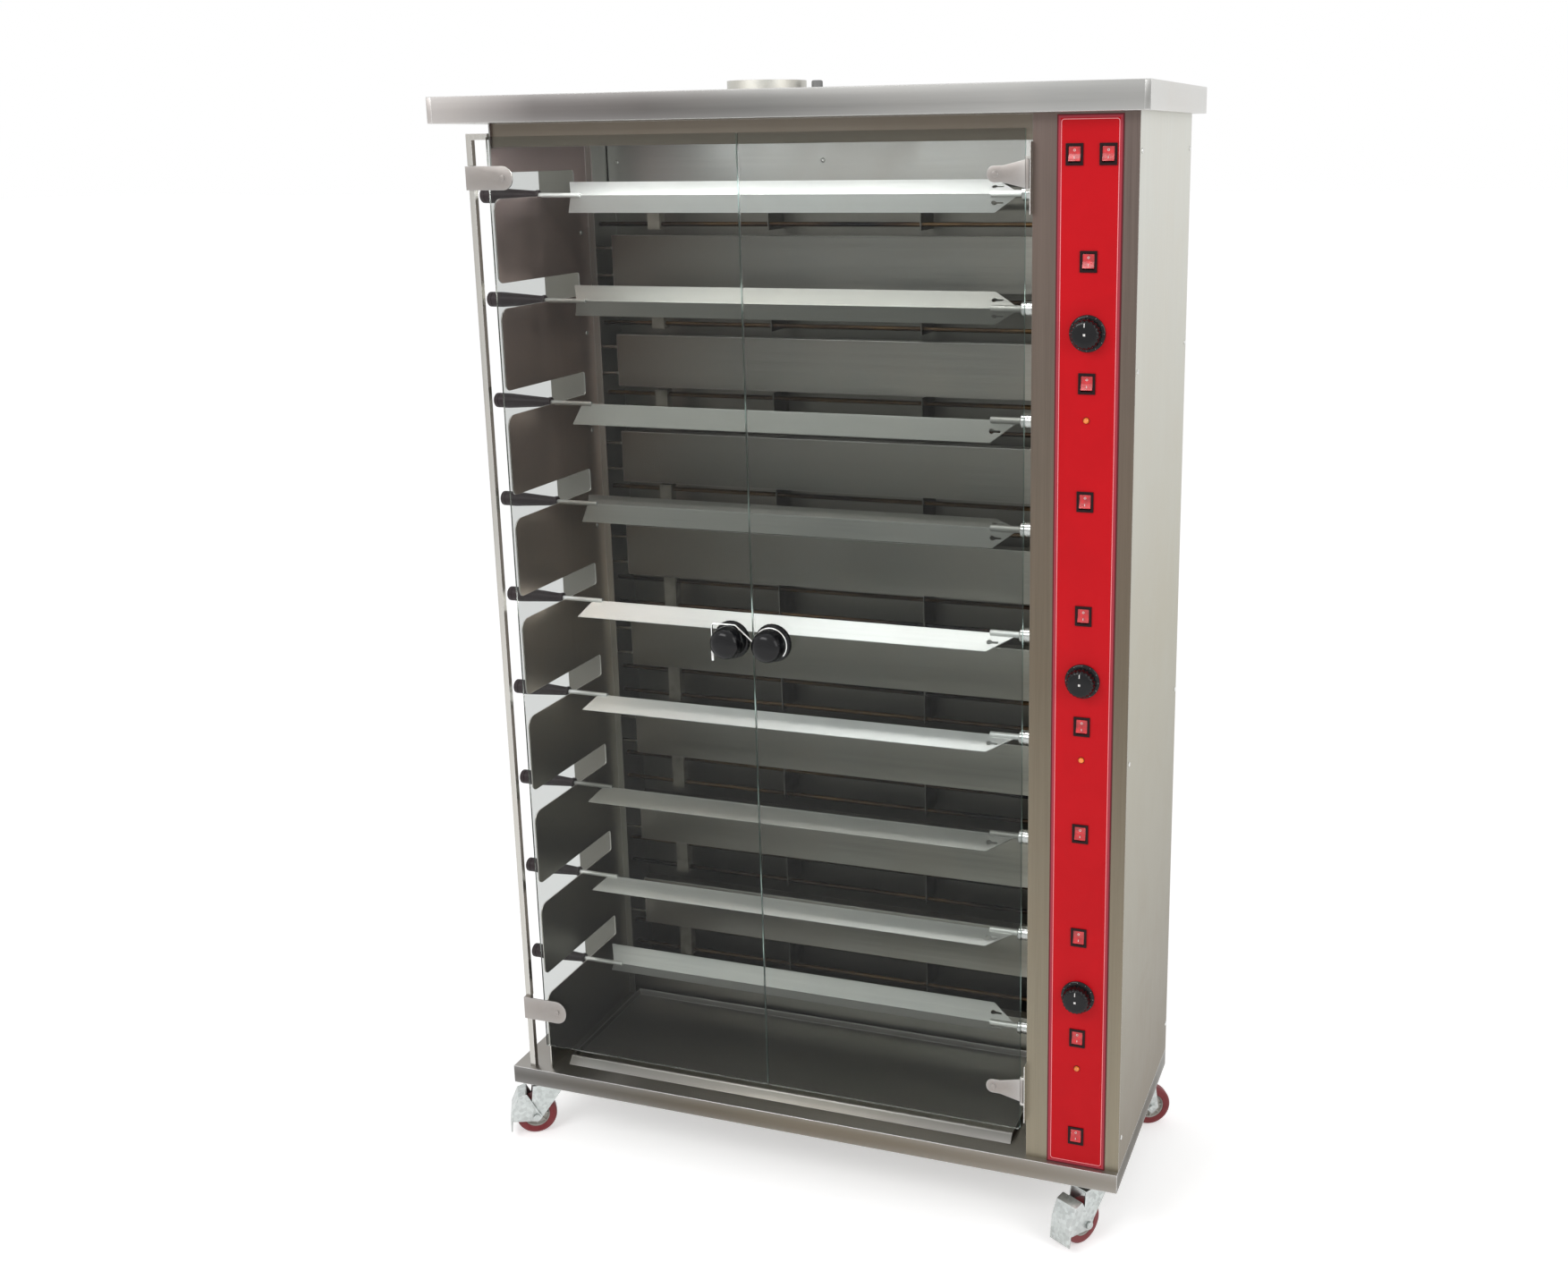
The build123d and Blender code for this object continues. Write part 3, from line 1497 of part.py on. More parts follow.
# Fasteners: side panel, comb and rear panel screws, and the caster bolts with their nuts
head_radius = screw_head_diameter / 2
fastener_pieces = []
for screw_y, screw_z in side_screw_places:
    with BuildPart() as side_screw:
        rod_x(right_x, right_x + screw_head_height, screw_y, screw_z, head_radius)
        fillet(side_screw.edges().group_by(Axis.X)[-1], screw_head_height / 2)
        rod_x(right_x - screw_grip, right_x, screw_y, screw_z, screw_radius)
    fastener_pieces.append(side_screw.part)
for screw_z in comb_screw_heights:
    screw_y = front_y + comb_screw_depth
    with BuildPart() as comb_screw:
        rod_x(comb_inner_x, comb_inner_x + screw_head_height, screw_y, screw_z, head_radius)
        fillet(comb_screw.edges().group_by(Axis.X)[-1], screw_head_height / 2)
        rod_x(comb_x - screw_grip, comb_inner_x, screw_y, screw_z, screw_radius)
    fastener_pieces.append(comb_screw.part)
for screw_x, screw_z in panel_screw_places:
    with BuildPart() as panel_screw:
        rod_y(screw_x, drop_y - screw_head_height, drop_y, screw_z, head_radius)
        fillet(panel_screw.edges().group_by(Axis.Y)[0], screw_head_height / 2)
        rod_y(screw_x, drop_y, drop_y + screw_grip, screw_z, screw_radius)
    fastener_pieces.append(panel_screw.part)
for bolt_x, bolt_y in caster_bolt_places:
    with BuildPart() as caster_bolt:
        rod_z(
            bolt_x,
            bolt_y,
            plate_bottom_z,
            caster_height + frame_sheet,
            caster_bolt_radius,
        )
        for low in (plate_bottom_z - bolt_nut_height, caster_height + frame_sheet):
            with BuildSketch(Plane.XY.offset(low)):
                with Locations((bolt_x, bolt_y)):
                    RegularPolygon(bolt_hex_apothem, 6, major_radius=False)
            extrude(amount=bolt_nut_height)
    fastener_pieces.append(caster_bolt.part)
screws = Compound(children=fastener_pieces)
screws.label = "fasteners"
export_step(screws, "parts/fasteners.step")

print("overall width", canopy_right - handle_left)
print("overall depth", canopy_back - knob_front_y)
print("overall height", canopy_top_z + vent_height)
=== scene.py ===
"""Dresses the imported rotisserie: finishes, turned and folded pieces, floor, light and camera."""

import logging
import math
from collections.abc import Callable, Sequence
from dataclasses import dataclass
from enum import Enum

import bmesh
import bpy
from mathutils import Matrix, Vector


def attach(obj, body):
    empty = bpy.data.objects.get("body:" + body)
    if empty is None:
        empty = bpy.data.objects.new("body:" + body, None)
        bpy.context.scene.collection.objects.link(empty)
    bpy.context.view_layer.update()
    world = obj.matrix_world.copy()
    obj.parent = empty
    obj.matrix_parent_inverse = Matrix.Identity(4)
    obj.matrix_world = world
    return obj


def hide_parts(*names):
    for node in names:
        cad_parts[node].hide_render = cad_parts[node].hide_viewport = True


Colour = tuple[float, float, float]
Point = tuple[float, float, float]
Profile = Sequence[tuple[float, float]]

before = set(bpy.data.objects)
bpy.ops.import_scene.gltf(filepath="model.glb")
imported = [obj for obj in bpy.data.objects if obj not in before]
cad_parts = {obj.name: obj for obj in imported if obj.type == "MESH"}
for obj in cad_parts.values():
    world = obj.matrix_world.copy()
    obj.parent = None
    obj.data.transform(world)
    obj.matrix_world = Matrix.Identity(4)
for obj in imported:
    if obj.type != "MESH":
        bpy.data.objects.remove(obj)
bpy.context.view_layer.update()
log = logging.getLogger("rotisserie")

MM = 0.001
SPIT_LEVELS = tuple((1710.0 - 177.4 * i) * MM for i in range(9))
SPIT_REST_ANGLES = (-10.0, -4.0, -54.0, -33.0, -93.5, -101.5, -100.0, -108.0, -7.5)
SPIT_DEPTH = -39.0 * MM
PLATE_FRONT = -198.5 * MM
GLASS_FRONT = -203.0 * MM
GLASS_BACK = -198.0 * MM
BRACKET_FRONT = -205.5 * MM
KNOB_LEVEL = 1002.0 * MM
KNOB_CENTRES = {"left_door": -79.0 * MM, "right_door": -6.0 * MM}
COLUMN_MIDDLE = 505.8 * MM
PLATE_MIDDLE = 984.0 * MM
CABINET_HEIGHTS = (0.15, 1.82)
CASTERS = {
    "fl": (-502.5, -164.0, 213.0),
    "fr": (527.5, -164.0, 240.0),
    "rl": (-502.5, 188.0, 150.0),
    "rr": (527.5, 188.0, 30.0),
}
BOLT_NEAR = 1.2 * MM
SAME_PLACE = 2e-6
SEEING_RAYS = ("Is Camera Ray", "Is Glossy Ray", "Is Transmission Ray")


class Along(Enum):
    """Direction of a sheet's brushing, as how quickly the pattern changes along X, Y and Z."""

    X = (6.0, 900.0, 900.0)
    Y = (900.0, 6.0, 900.0)
    Z = (900.0, 900.0, 6.0)
    ALL = (300.0, 300.0, 300.0)


class Axis(Enum):
    """Axis that a turned piece is turned about, as the turn that lays +Z along it."""

    X = Matrix.Rotation(math.radians(90), 4, "Y")
    Y = Matrix.Rotation(math.radians(-90), 4, "X")
    Z = Matrix.Identity(4)
    BACK_Y = Matrix.Rotation(math.radians(90), 4, "X")
    BACK_Z = Matrix.Rotation(math.radians(180), 4, "X")


def placed(x: float, y: float, z: float, axis: Axis = Axis.Z) -> Matrix:
    """Returns the matrix that puts a piece's foot at a point, with its length along an axis.

    Args:
        x: Place of the foot along X, in metres.
        y: Place of the foot along Y, in metres.
        z: Place of the foot along Z, in metres.
        axis: Direction of the piece's length.

    Returns:
        The matrix of the place.
    """
    return Matrix.Translation((x, y, z)) @ axis.value


def scaled(colour: Colour, share: float) -> Colour:
    """Returns a colour made lighter or darker, below full white."""
    return tuple(min(1.0, c * share) for c in colour)


class Wiring:
    """Adds nodes to a tree and links them."""

    def __init__(self, tree: bpy.types.NodeTree) -> None:
        """Takes the tree that the nodes go into."""
        self.tree = tree

    def add(self, kind: str, inputs: dict | None = None, **settings: object) -> bpy.types.Node:
        """Adds one node.

        Args:
            kind: Blender's name of the node's type.
            inputs: Value or source of each input, by the socket's name or number.
            settings: Properties of the node.

        Returns:
            The new node.
        """
        node = self.tree.nodes.new(kind)
        for name, value in settings.items():
            setattr(node, name, value)
        for key, value in (inputs or {}).items():
            self.feed(node.inputs[key], value)
        return node

    def feed(self, socket: bpy.types.NodeSocket, value: object) -> None:
        """Links a source to a socket, or sets the socket's own value."""
        if isinstance(value, bpy.types.NodeSocket):
            self.tree.links.new(value, socket)
        elif isinstance(value, bpy.types.Node):
            self.tree.links.new(value.outputs[0], socket)
        else:
            socket.default_value = value

    def math(self, operation: str, *values: object, clamp: bool = False) -> bpy.types.NodeSocket:
        """Adds a Math node.

        Args:
            operation: Name of the operation.
            values: Up to three numbers or sources.
            clamp: Whether the result is kept between 0 and 1.

        Returns:
            The node's output.
        """
        node = self.add("ShaderNodeMath", dict(enumerate(values)), operation=operation)
        node.use_clamp = clamp
        return node.outputs[0]

    def vector(self, operation: str, *values: object) -> bpy.types.Node:
        """Adds a Vector Math node and returns it."""
        return self.add("ShaderNodeVectorMath", dict(enumerate(values)), operation=operation)

    def rays(self, *kinds: str) -> bpy.types.NodeSocket:
        """Returns a mask that is 1 for rays of any of the kinds."""
        path = self.add("ShaderNodeLightPath").outputs
        found = path[kinds[0]]
        for kind in kinds[1:]:
            found = self.math("MAXIMUM", found, path[kind])
        return found

    def fit(
        self, value: object, low: object, high: object, start: object, end: object
    ) -> bpy.types.NodeSocket:
        """Maps a value from one range to another, with smooth ends cut off.

        Args:
            value: Source of the value.
            low: Value that becomes start.
            high: Value that becomes end.
            start: Result at low.
            end: Result at high.

        Returns:
            The output socket.
        """
        sources = {0: value, 1: low, 2: high, 3: start, 4: end}
        return self.add("ShaderNodeMapRange", sources, clamp=True).outputs[0]

    def mix(
        self, share: object, first: object, second: object, blend: str = "MIX"
    ) -> bpy.types.NodeSocket:
        """Mixes two colours.

        Args:
            share: Share of the second colour.
            first: First colour or its source.
            second: Second colour or its source.
            blend: Way of mixing.

        Returns:
            The output socket.
        """
        node = self.add("ShaderNodeMix", data_type="RGBA", blend_type=blend)
        self.feed(node.inputs["Factor"], share)
        for socket, value in ((node.inputs["A"], first), (node.inputs["B"], second)):
            self.feed(socket, (*value, 1.0) if isinstance(value, tuple) else value)
        return next(s for s in node.outputs if s.type == "RGBA")

    def ramp(self, value: object, stops: Sequence[tuple[float, Colour]]) -> bpy.types.NodeSocket:
        """Returns the colour at a value between stops, each a place and a colour."""
        node = self.add("ShaderNodeValToRGB", {0: value})
        elements = node.color_ramp.elements
        for end in (0, -1):
            elements[end].position, elements[end].color = stops[end][0], (*stops[end][1], 1.0)
        for place, colour in stops[1:-1]:
            elements.new(place).color = (*colour, 1.0)
        return node.outputs[0]

    def group(self, effect: "Effect", inputs: dict) -> bpy.types.Node:
        """Places a node group and feeds its inputs by name."""
        return self.add("ShaderNodeGroup", inputs, node_tree=effect.tree())


SocketSpec = tuple[str, str, object]


def shader_group(
    name: str,
    inputs: Sequence[SocketSpec],
    outputs: Sequence[tuple[str, str]],
    fill: Callable[[Wiring, bpy.types.Node, bpy.types.Node], None],
) -> bpy.types.NodeTree:
    """Builds a shader node group once and returns it afterwards.

    Args:
        name: Name of the group.
        inputs: Name, kind and starting value of each input.
        outputs: Name and kind of each output.
        fill: Function that adds the nodes between the group's input and output.

    Returns:
        The group's tree.
    """
    if name in bpy.data.node_groups:
        return bpy.data.node_groups[name]
    tree = bpy.data.node_groups.new(name, "ShaderNodeTree")
    for label, kind, value in inputs:
        socket = tree.interface.new_socket(label, in_out="INPUT", socket_type=f"NodeSocket{kind}")
        if value is not None:
            socket.default_value = value
    for label, kind in outputs:
        tree.interface.new_socket(label, in_out="OUTPUT", socket_type=f"NodeSocket{kind}")
    wiring = Wiring(tree)
    fill(wiring, wiring.add("NodeGroupInput"), wiring.add("NodeGroupOutput"))
    return tree


def fill_brushed(w: Wiring, given: bpy.types.Node, out: bpy.types.Node) -> None:
    """Brushing lines: fine scratches on broader bands, drawn out along the grain."""
    drawn = w.vector("MULTIPLY", given.outputs["Vector"], given.outputs["Stretch"]).outputs[0]
    fine = w.add("ShaderNodeTexNoise", {"Vector": drawn, "Scale": 2.0, "Detail": 3.0})
    broad = w.add("ShaderNodeTexNoise", {"Vector": drawn, "Scale": 0.16, "Detail": 2.0})
    lines = w.math("MULTIPLY", fine.outputs[0], 0.55)
    streak = w.math("ADD", lines, w.math("MULTIPLY", broad.outputs[0], 0.45))
    w.feed(out.inputs["Streak"], w.fit(streak, 0.32, 0.68, 0.0, 1.0))
    w.feed(out.inputs["Height"], fine.outputs[0])


def fill_cloud(w: Wiring, given: bpy.types.Node, out: bpy.types.Node) -> None:
    """Soft patches of handling marks, with thin swirls in them."""
    scale = w.math("DIVIDE", 1.0, given.outputs["Size"])
    patch = w.add("ShaderNodeTexNoise", {"Vector": given.outputs["Vector"], "Scale": scale, "Detail": 4.0})
    swirl = w.add(
        "ShaderNodeTexNoise",
        {
            "Vector": given.outputs["Vector"],
            "Scale": w.math("MULTIPLY", scale, 5.0),
            "Detail": 5.0,
            "Distortion": 1.2,
        },
    )
    both = w.math("ADD", patch.outputs[0], w.math("MULTIPLY", swirl.outputs[0], 0.35))
    w.feed(out.inputs["Mask"], w.fit(both, 0.52, 0.86, 0.0, 1.0))


def fill_edges(w: Wiring, given: bpy.types.Node, out: bpy.types.Node) -> None:
    """Rounded edges: a normal that turns over the edge, and a mask that is 1 on it."""
    rounded = w.add("ShaderNodeBevel", {"Radius": given.outputs["Radius"]}, samples=4)
    flat = w.add("ShaderNodeNewGeometry")
    turn = w.vector("DOT_PRODUCT", rounded.outputs[0], flat.outputs["True Normal"]).outputs["Value"]
    w.feed(out.inputs["Mask"], w.fit(turn, 0.999, 0.93, 0.0, 1.0))
    w.feed(out.inputs["Normal"], rounded.outputs[0])


def fill_grime(w: Wiring, given: bpy.types.Node, out: bpy.types.Node) -> None:
    """Dust and dirt that thins out from one height to another, in broken patches."""
    height = w.add("ShaderNodeSeparateXYZ", {0: given.outputs["Vector"]}).outputs["Z"]
    share = w.fit(height, given.outputs["Dirty Height"], given.outputs["Clean Height"], 1.0, 0.0)
    spots = w.add("ShaderNodeTexNoise", {"Vector": given.outputs["Vector"], "Scale": 120.0, "Detail": 6.0})
    w.feed(out.inputs["Mask"], w.math("MULTIPLY", share, w.fit(spots.outputs[0], 0.38, 0.72, 0.0, 1.0)))


def fill_moulded(w: Wiring, given: bpy.types.Node, out: bpy.types.Node) -> None:
    """Spark-eroded texture of a moulded or plated surface."""
    scale = w.math("DIVIDE", 1.0, given.outputs["Size"])
    cells = w.add("ShaderNodeTexVoronoi", {"Vector": given.outputs["Vector"], "Scale": scale})
    grit = w.add("ShaderNodeTexNoise", {"Vector": given.outputs["Vector"], "Scale": scale, "Detail": 4.0})
    w.feed(out.inputs["Height"], w.math("MULTIPLY", cells.outputs["Distance"], grit.outputs[0]))
    w.feed(out.inputs["Cells"], cells.outputs["Color"])


def fill_heat(w: Wiring, given: bpy.types.Node, out: bpy.types.Node) -> None:
    """Heat colours of steel that has run red: brown, straw and blue-grey bands along X."""
    drawn = w.vector("MULTIPLY", given.outputs["Vector"], (5.0, 60.0, 60.0)).outputs[0]
    band = w.add("ShaderNodeTexNoise", {"Vector": drawn, "Scale": 1.0, "Detail": 5.0})
    stops = ((0.3, (0.02, 0.02, 0.022)), (0.46, (0.055, 0.035, 0.024)), (0.6, (0.12, 0.075, 0.038)))
    w.feed(out.inputs["Colour"], w.ramp(band.outputs[0], stops))


PLACE = ("Vector", "Vector", None)


class Effect(Enum):
    """Shader group that several finishes use: its name, inputs, outputs and the function that fills it."""

    BRUSHED = (
        "brushed_lines", (PLACE, ("Stretch", "Vector", (6.0, 900.0, 900.0))),
        (("Streak", "Float"), ("Height", "Float")), fill_brushed,
    )
    MARKS = ("handling_marks", (PLACE, ("Size", "Float", 0.2)), (("Mask", "Float"),), fill_cloud)
    EDGES = (
        "rounded_edges", (("Radius", "Float", 0.001),), (("Mask", "Float"), ("Normal", "Vector")), fill_edges,
    )
    DIRT = (
        "dirt_by_height", (PLACE, ("Dirty Height", "Float", 0.0), ("Clean Height", "Float", 0.1)),
        (("Mask", "Float"),), fill_grime,
    )
    MOULDED = (
        "moulded_texture", (PLACE, ("Size", "Float", 0.001)), (("Height", "Float"), ("Cells", "Color")),
        fill_moulded,
    )
    HEAT = ("heat_colours", (PLACE,), (("Colour", "Color"),), fill_heat)

    def tree(self) -> bpy.types.NodeTree:
        """Returns the group's tree, built on first use."""
        return shader_group(*self.value)


class Surface:
    """A new material with its Principled shader and the piece's own coordinates."""

    def __init__(self, name: str, **constants: object) -> None:
        """Makes the material.

        Args:
            name: Name of the finish.
            constants: Values set on the shader's own sockets, with _ for each space.
        """
        self.material = bpy.data.materials.new(name)
        self.material.use_nodes = True
        self.wiring = Wiring(self.material.node_tree)
        self.shader = self.material.node_tree.nodes["Principled BSDF"]
        self.output = self.material.node_tree.nodes["Material Output"]
        coordinates = self.wiring.add("ShaderNodeTexCoord").outputs
        self.place, self.facing = coordinates["Object"], coordinates["Normal"]
        for key, value in constants.items():
            self.shader.inputs[key.replace("_", " ")].default_value = value

    def set(self, name: str, source: object) -> None:
        """Feeds one of the shader's inputs."""
        self.wiring.feed(self.shader.inputs[name], source)

    def skin(self, texture: float, marks: float, radius: float) -> tuple[bpy.types.Node, ...]:
        """Adds the groups of a moulded skin, by the sizes of its texture, marks and edges in metres."""
        w = self.wiring
        return (
            w.group(Effect.MOULDED, {"Vector": self.place, "Size": texture}),
            w.group(Effect.MARKS, {"Vector": self.place, "Size": marks}),
            w.group(Effect.EDGES, {"Radius": radius}),
        )

    def bump(self, height: object, distance: float, normal: object = None, strength: float = 1.0) -> None:
        """Adds a Bump node before the shader's normal.

        Args:
            height: Source of the height.
            distance: Height of the relief in metres.
            normal: Source of the normal under the relief.
            strength: Share of the effect.
        """
        sources = {"Height": height, "Distance": distance, "Strength": strength}
        if normal is not None:
            sources["Normal"] = normal
        self.set("Normal", self.wiring.add("ShaderNodeBump", sources).outputs[0])


@dataclass(frozen=True)
class Finish:
    """A named finish, whose material is made on first use."""

    name: str

    def material(self) -> bpy.types.Material:
        """Returns the finish as a material."""
        return bpy.data.materials.get(self.name) or self.paint()

    def paint(self) -> bpy.types.Material:
        """Makes the material."""
        raise NotImplementedError


@dataclass(frozen=True)
class Shade:
    """Painted light and shade on a sheet: how its tone changes along one axis, on all its faces or on those
    that face one way.
    """

    axis: str
    span: tuple[float, float]
    tones: tuple[Colour, ...]
    face: Point | None = None

    def over(self, s: Surface, base: object) -> bpy.types.NodeSocket:
        """Lays the painted light and shade over a colour.

        Args:
            s: The material.
            base: The colour under the tones.

        Returns:
            The toned colour.
        """
        w = s.wiring
        along = w.add("ShaderNodeSeparateXYZ", {0: s.place}).outputs[self.axis]
        stops = [(i / (len(self.tones) - 1), tone) for i, tone in enumerate(self.tones)]
        toned = w.ramp(w.fit(along, *self.span, 0.0, 1.0), stops)
        share = 1.0
        if self.face is not None:
            turn = w.vector("DOT_PRODUCT", s.facing, self.face).outputs["Value"]
            share = w.fit(turn, 0.5, 0.9, 0.0, 1.0)
        return w.mix(share, base, toned, "MULTIPLY")


@dataclass(frozen=True)
class Steel(Finish):
    """Brushed stainless sheet with handling marks, lighter edges that are partly rubbed wear and partly a
    painted edge highlight, and painted light and shade that drifts over its length.
    """

    tint: Colour
    along: Along = Along.X
    roughness: float = 0.34
    streaks: float = 0.12
    marks: float = 0.12
    marks_size: float = 0.25
    edge: float = 0.35
    edge_radius: float = 0.0008
    warm: Colour = (1.0, 0.93, 0.88)
    # shades: painted light and shade, multiplied over the colour
    shades: tuple[Shade, ...] = ()
    metal: float = 1.0

    def paint(self) -> bpy.types.Material:
        """Makes the material."""
        s = Surface(self.name, Metallic=self.metal, IOR=2.0)
        w = s.wiring
        lines = w.group(Effect.BRUSHED, {"Vector": s.place, "Stretch": self.along.value})
        cloud = w.group(Effect.MARKS, {"Vector": s.place, "Size": self.marks_size})
        edges = w.group(Effect.EDGES, {"Radius": self.edge_radius})
        light = scaled(self.tint, 1 + self.streaks)
        warmed = tuple(c * k for c, k in zip(light, self.warm))
        base = w.mix(lines.outputs["Streak"], scaled(self.tint, 1 - self.streaks), light)
        marked = w.mix(w.math("MULTIPLY", cloud.outputs[0], self.marks * 4, clamp=True), base, warmed)
        # painted light and shade: each shade darkens the colour where the sheet would catch less light
        for shade in self.shades:
            marked = shade.over(s, marked)
        # worn: edges lifted towards pale grey, partly rubbed wear and partly a painted edge highlight
        worn = tuple(min(0.95, c + self.edge * (0.95 - c)) for c in self.tint)
        s.set("Base Color", w.mix(edges.outputs["Mask"], marked, worn))
        rough = w.math("ADD", self.roughness - 0.06, w.math("MULTIPLY", lines.outputs["Streak"], 0.1))
        s.set("Roughness", w.math("ADD", rough, w.math("MULTIPLY", cloud.outputs[0], self.marks)))
        s.bump(lines.outputs["Height"], 0.00002, edges.outputs["Normal"], 0.5)
        return s.material


@dataclass(frozen=True)
class Plastic(Finish):
    """Moulded plastic with a fine texture, a dull bloom and paler worn edges."""

    tint: Colour
    roughness: float = 0.35
    texture_size: float = 0.0012
    relief: float = 0.00003
    bloom: float = 0.15
    coat: float = 0.0
    edge: float = 0.12
    gleam: float = 0.5

    def paint(self) -> bpy.types.Material:
        """Makes the material."""
        s = Surface(self.name, Coat_Weight=self.coat, Coat_Roughness=0.08, Specular_IOR_Level=self.gleam)
        w = s.wiring
        texture, cloud, edges = s.skin(self.texture_size, 0.02, 0.0005)
        pale = tuple(c + self.bloom * 0.12 for c in self.tint)
        worn = tuple(c + self.edge for c in self.tint)
        base = w.mix(cloud.outputs[0], self.tint, pale)
        s.set("Base Color", w.mix(w.math("MULTIPLY", edges.outputs["Mask"], 0.6), base, worn))
        s.set("Roughness", w.fit(cloud.outputs[0], 0.0, 1.0, self.roughness, self.roughness + self.bloom))
        s.bump(texture.outputs["Height"], self.relief, edges.outputs["Normal"], 0.6)
        return s.material


@dataclass(frozen=True)
class Plated(Finish):
    """Zinc or chrome plating with spangle and dirt near the floor."""

    tint: Colour
    roughness: float = 0.3
    spangle: float = 0.12
    dirty_height: float = 0.0
    clean_height: float = 0.1

    def paint(self) -> bpy.types.Material:
        """Makes the material."""
        s = Surface(self.name, Metallic=1.0)
        w = s.wiring
        texture, cloud, edges = s.skin(0.006, 0.03, 0.0006)
        dirt = w.group(
            Effect.DIRT,
            {"Vector": s.place, "Dirty Height": self.dirty_height, "Clean Height": self.clean_height},
        )
        grains = w.add("ShaderNodeSeparateColor", {0: texture.outputs["Cells"]}).outputs[0]
        base = w.mix(grains, scaled(self.tint, 1 - self.spangle), scaled(self.tint, 1 + self.spangle))
        edged = w.mix(w.math("MULTIPLY", edges.outputs["Mask"], 0.5), base, (0.9, 0.9, 0.9))
        s.set("Base Color", w.mix(w.math("MULTIPLY", dirt.outputs[0], 0.6), edged, (0.16, 0.14, 0.12)))
        rough = w.fit(cloud.outputs[0], 0.0, 1.0, self.roughness, self.roughness + 0.15)
        s.set("Roughness", w.math("ADD", rough, w.math("MULTIPLY", dirt.outputs[0], 0.3)))
        s.bump(texture.outputs["Height"], 0.00004, edges.outputs["Normal"], 0.4)
        return s.material


@dataclass(frozen=True)
class Pane(Finish):
    """Smoked float glass that shows green at its cut edges."""

    tint: Colour = (0.6, 0.615, 0.605)
    edge_tint: Colour = (0.5, 0.85, 0.8)

    def paint(self) -> bpy.types.Material:
        """Makes the material."""
        s = Surface(self.name, Transmission_Weight=1.0, IOR=1.2)
        w = s.wiring
        faces = w.add("ShaderNodeSeparateXYZ", {0: s.facing})
        flat = w.fit(w.math("ABSOLUTE", faces.outputs["Y"]), 0.5, 0.9, 1.0, 0.0)
        cloud = w.group(Effect.MARKS, {"Vector": s.place, "Size": 0.3})
        s.set("Base Color", w.mix(flat, self.tint, self.edge_tint))
        wiped = w.math("MULTIPLY", cloud.outputs[0], 0.02)
        s.set("Roughness", w.math("ADD", wiped, w.math("MULTIPLY", flat, 0.25)))
        past = w.rays("Is Shadow Ray", "Is Diffuse Ray")
        clear = w.add("ShaderNodeBsdfTransparent", {0: (0.93, 0.96, 0.95, 1.0)})
        both = w.add("ShaderNodeMixShader", {0: past, 1: s.shader, 2: clear})
        w.feed(s.output.inputs["Surface"], both)
        return s.material


@dataclass(frozen=True)
class Enamel(Finish):
    """Gloss printed plate with a darker turned rim, and painted shade along its outermost edge."""

    tint: Colour
    rim: Colour
    centre: Point
    half: Point
    rim_width: float

    def paint(self) -> bpy.types.Material:
        """Makes the material."""
        s = Surface(self.name, Coat_Weight=0.1, Coat_Roughness=0.12, Specular_IOR_Level=0.08)
        w = s.wiring
        away = w.vector("ABSOLUTE", w.vector("SUBTRACT", s.place, self.centre).outputs[0]).outputs[0]
        inset = w.add("ShaderNodeSeparateXYZ", {0: w.vector("SUBTRACT", self.half, away).outputs[0]})
        nearest = w.math("MINIMUM", inset.outputs["X"], inset.outputs["Z"])
        rim = w.fit(nearest, self.rim_width, self.rim_width - 0.0006, 0.0, 1.0)
        # outer: painted shade along the plate's outermost edge
        outer = w.fit(nearest, 0.0026, 0.0016, 0.0, 1.0)
        texture, cloud, edges = s.skin(0.0015, 0.35, 0.0006)
        banded = w.mix(rim, w.mix(cloud.outputs[0], self.tint, scaled(self.tint, 0.86)), self.rim)
        s.set("Base Color", w.mix(outer, banded, scaled(self.rim, 0.35)))
        s.set("Roughness", w.fit(cloud.outputs[0], 0.0, 1.0, 0.3, 0.42))
        s.bump(texture.outputs["Height"], 0.00003, edges.outputs["Normal"], 0.4)
        return s.material


@dataclass(frozen=True)
class Lens(Finish):
    """Tinted clear plastic that glows a little from within, as a lamp's cap or a rocker does."""

    tint: Colour
    glow: float = 0.0
    roughness: float = 0.22
    depth: float = 0.5

    def paint(self) -> bpy.types.Material:
        """Makes the material."""
        s = Surface(self.name, Coat_Weight=0.6, Coat_Roughness=0.1, Emission_Strength=self.glow)
        w = s.wiring
        texture, cloud, edges = s.skin(0.0014, 0.008, 0.0005)
        base = w.mix(cloud.outputs[0], self.tint, scaled(self.tint, self.depth))
        s.set("Base Color", w.mix(w.math("MULTIPLY", edges.outputs["Mask"], 0.5), base, self.tint))
        s.set("Emission Color", base)
        s.set("Roughness", w.fit(cloud.outputs[0], 0.0, 1.0, self.roughness, self.roughness + 0.12))
        s.bump(texture.outputs["Height"], 0.00005, edges.outputs["Normal"], 0.5)
        return s.material


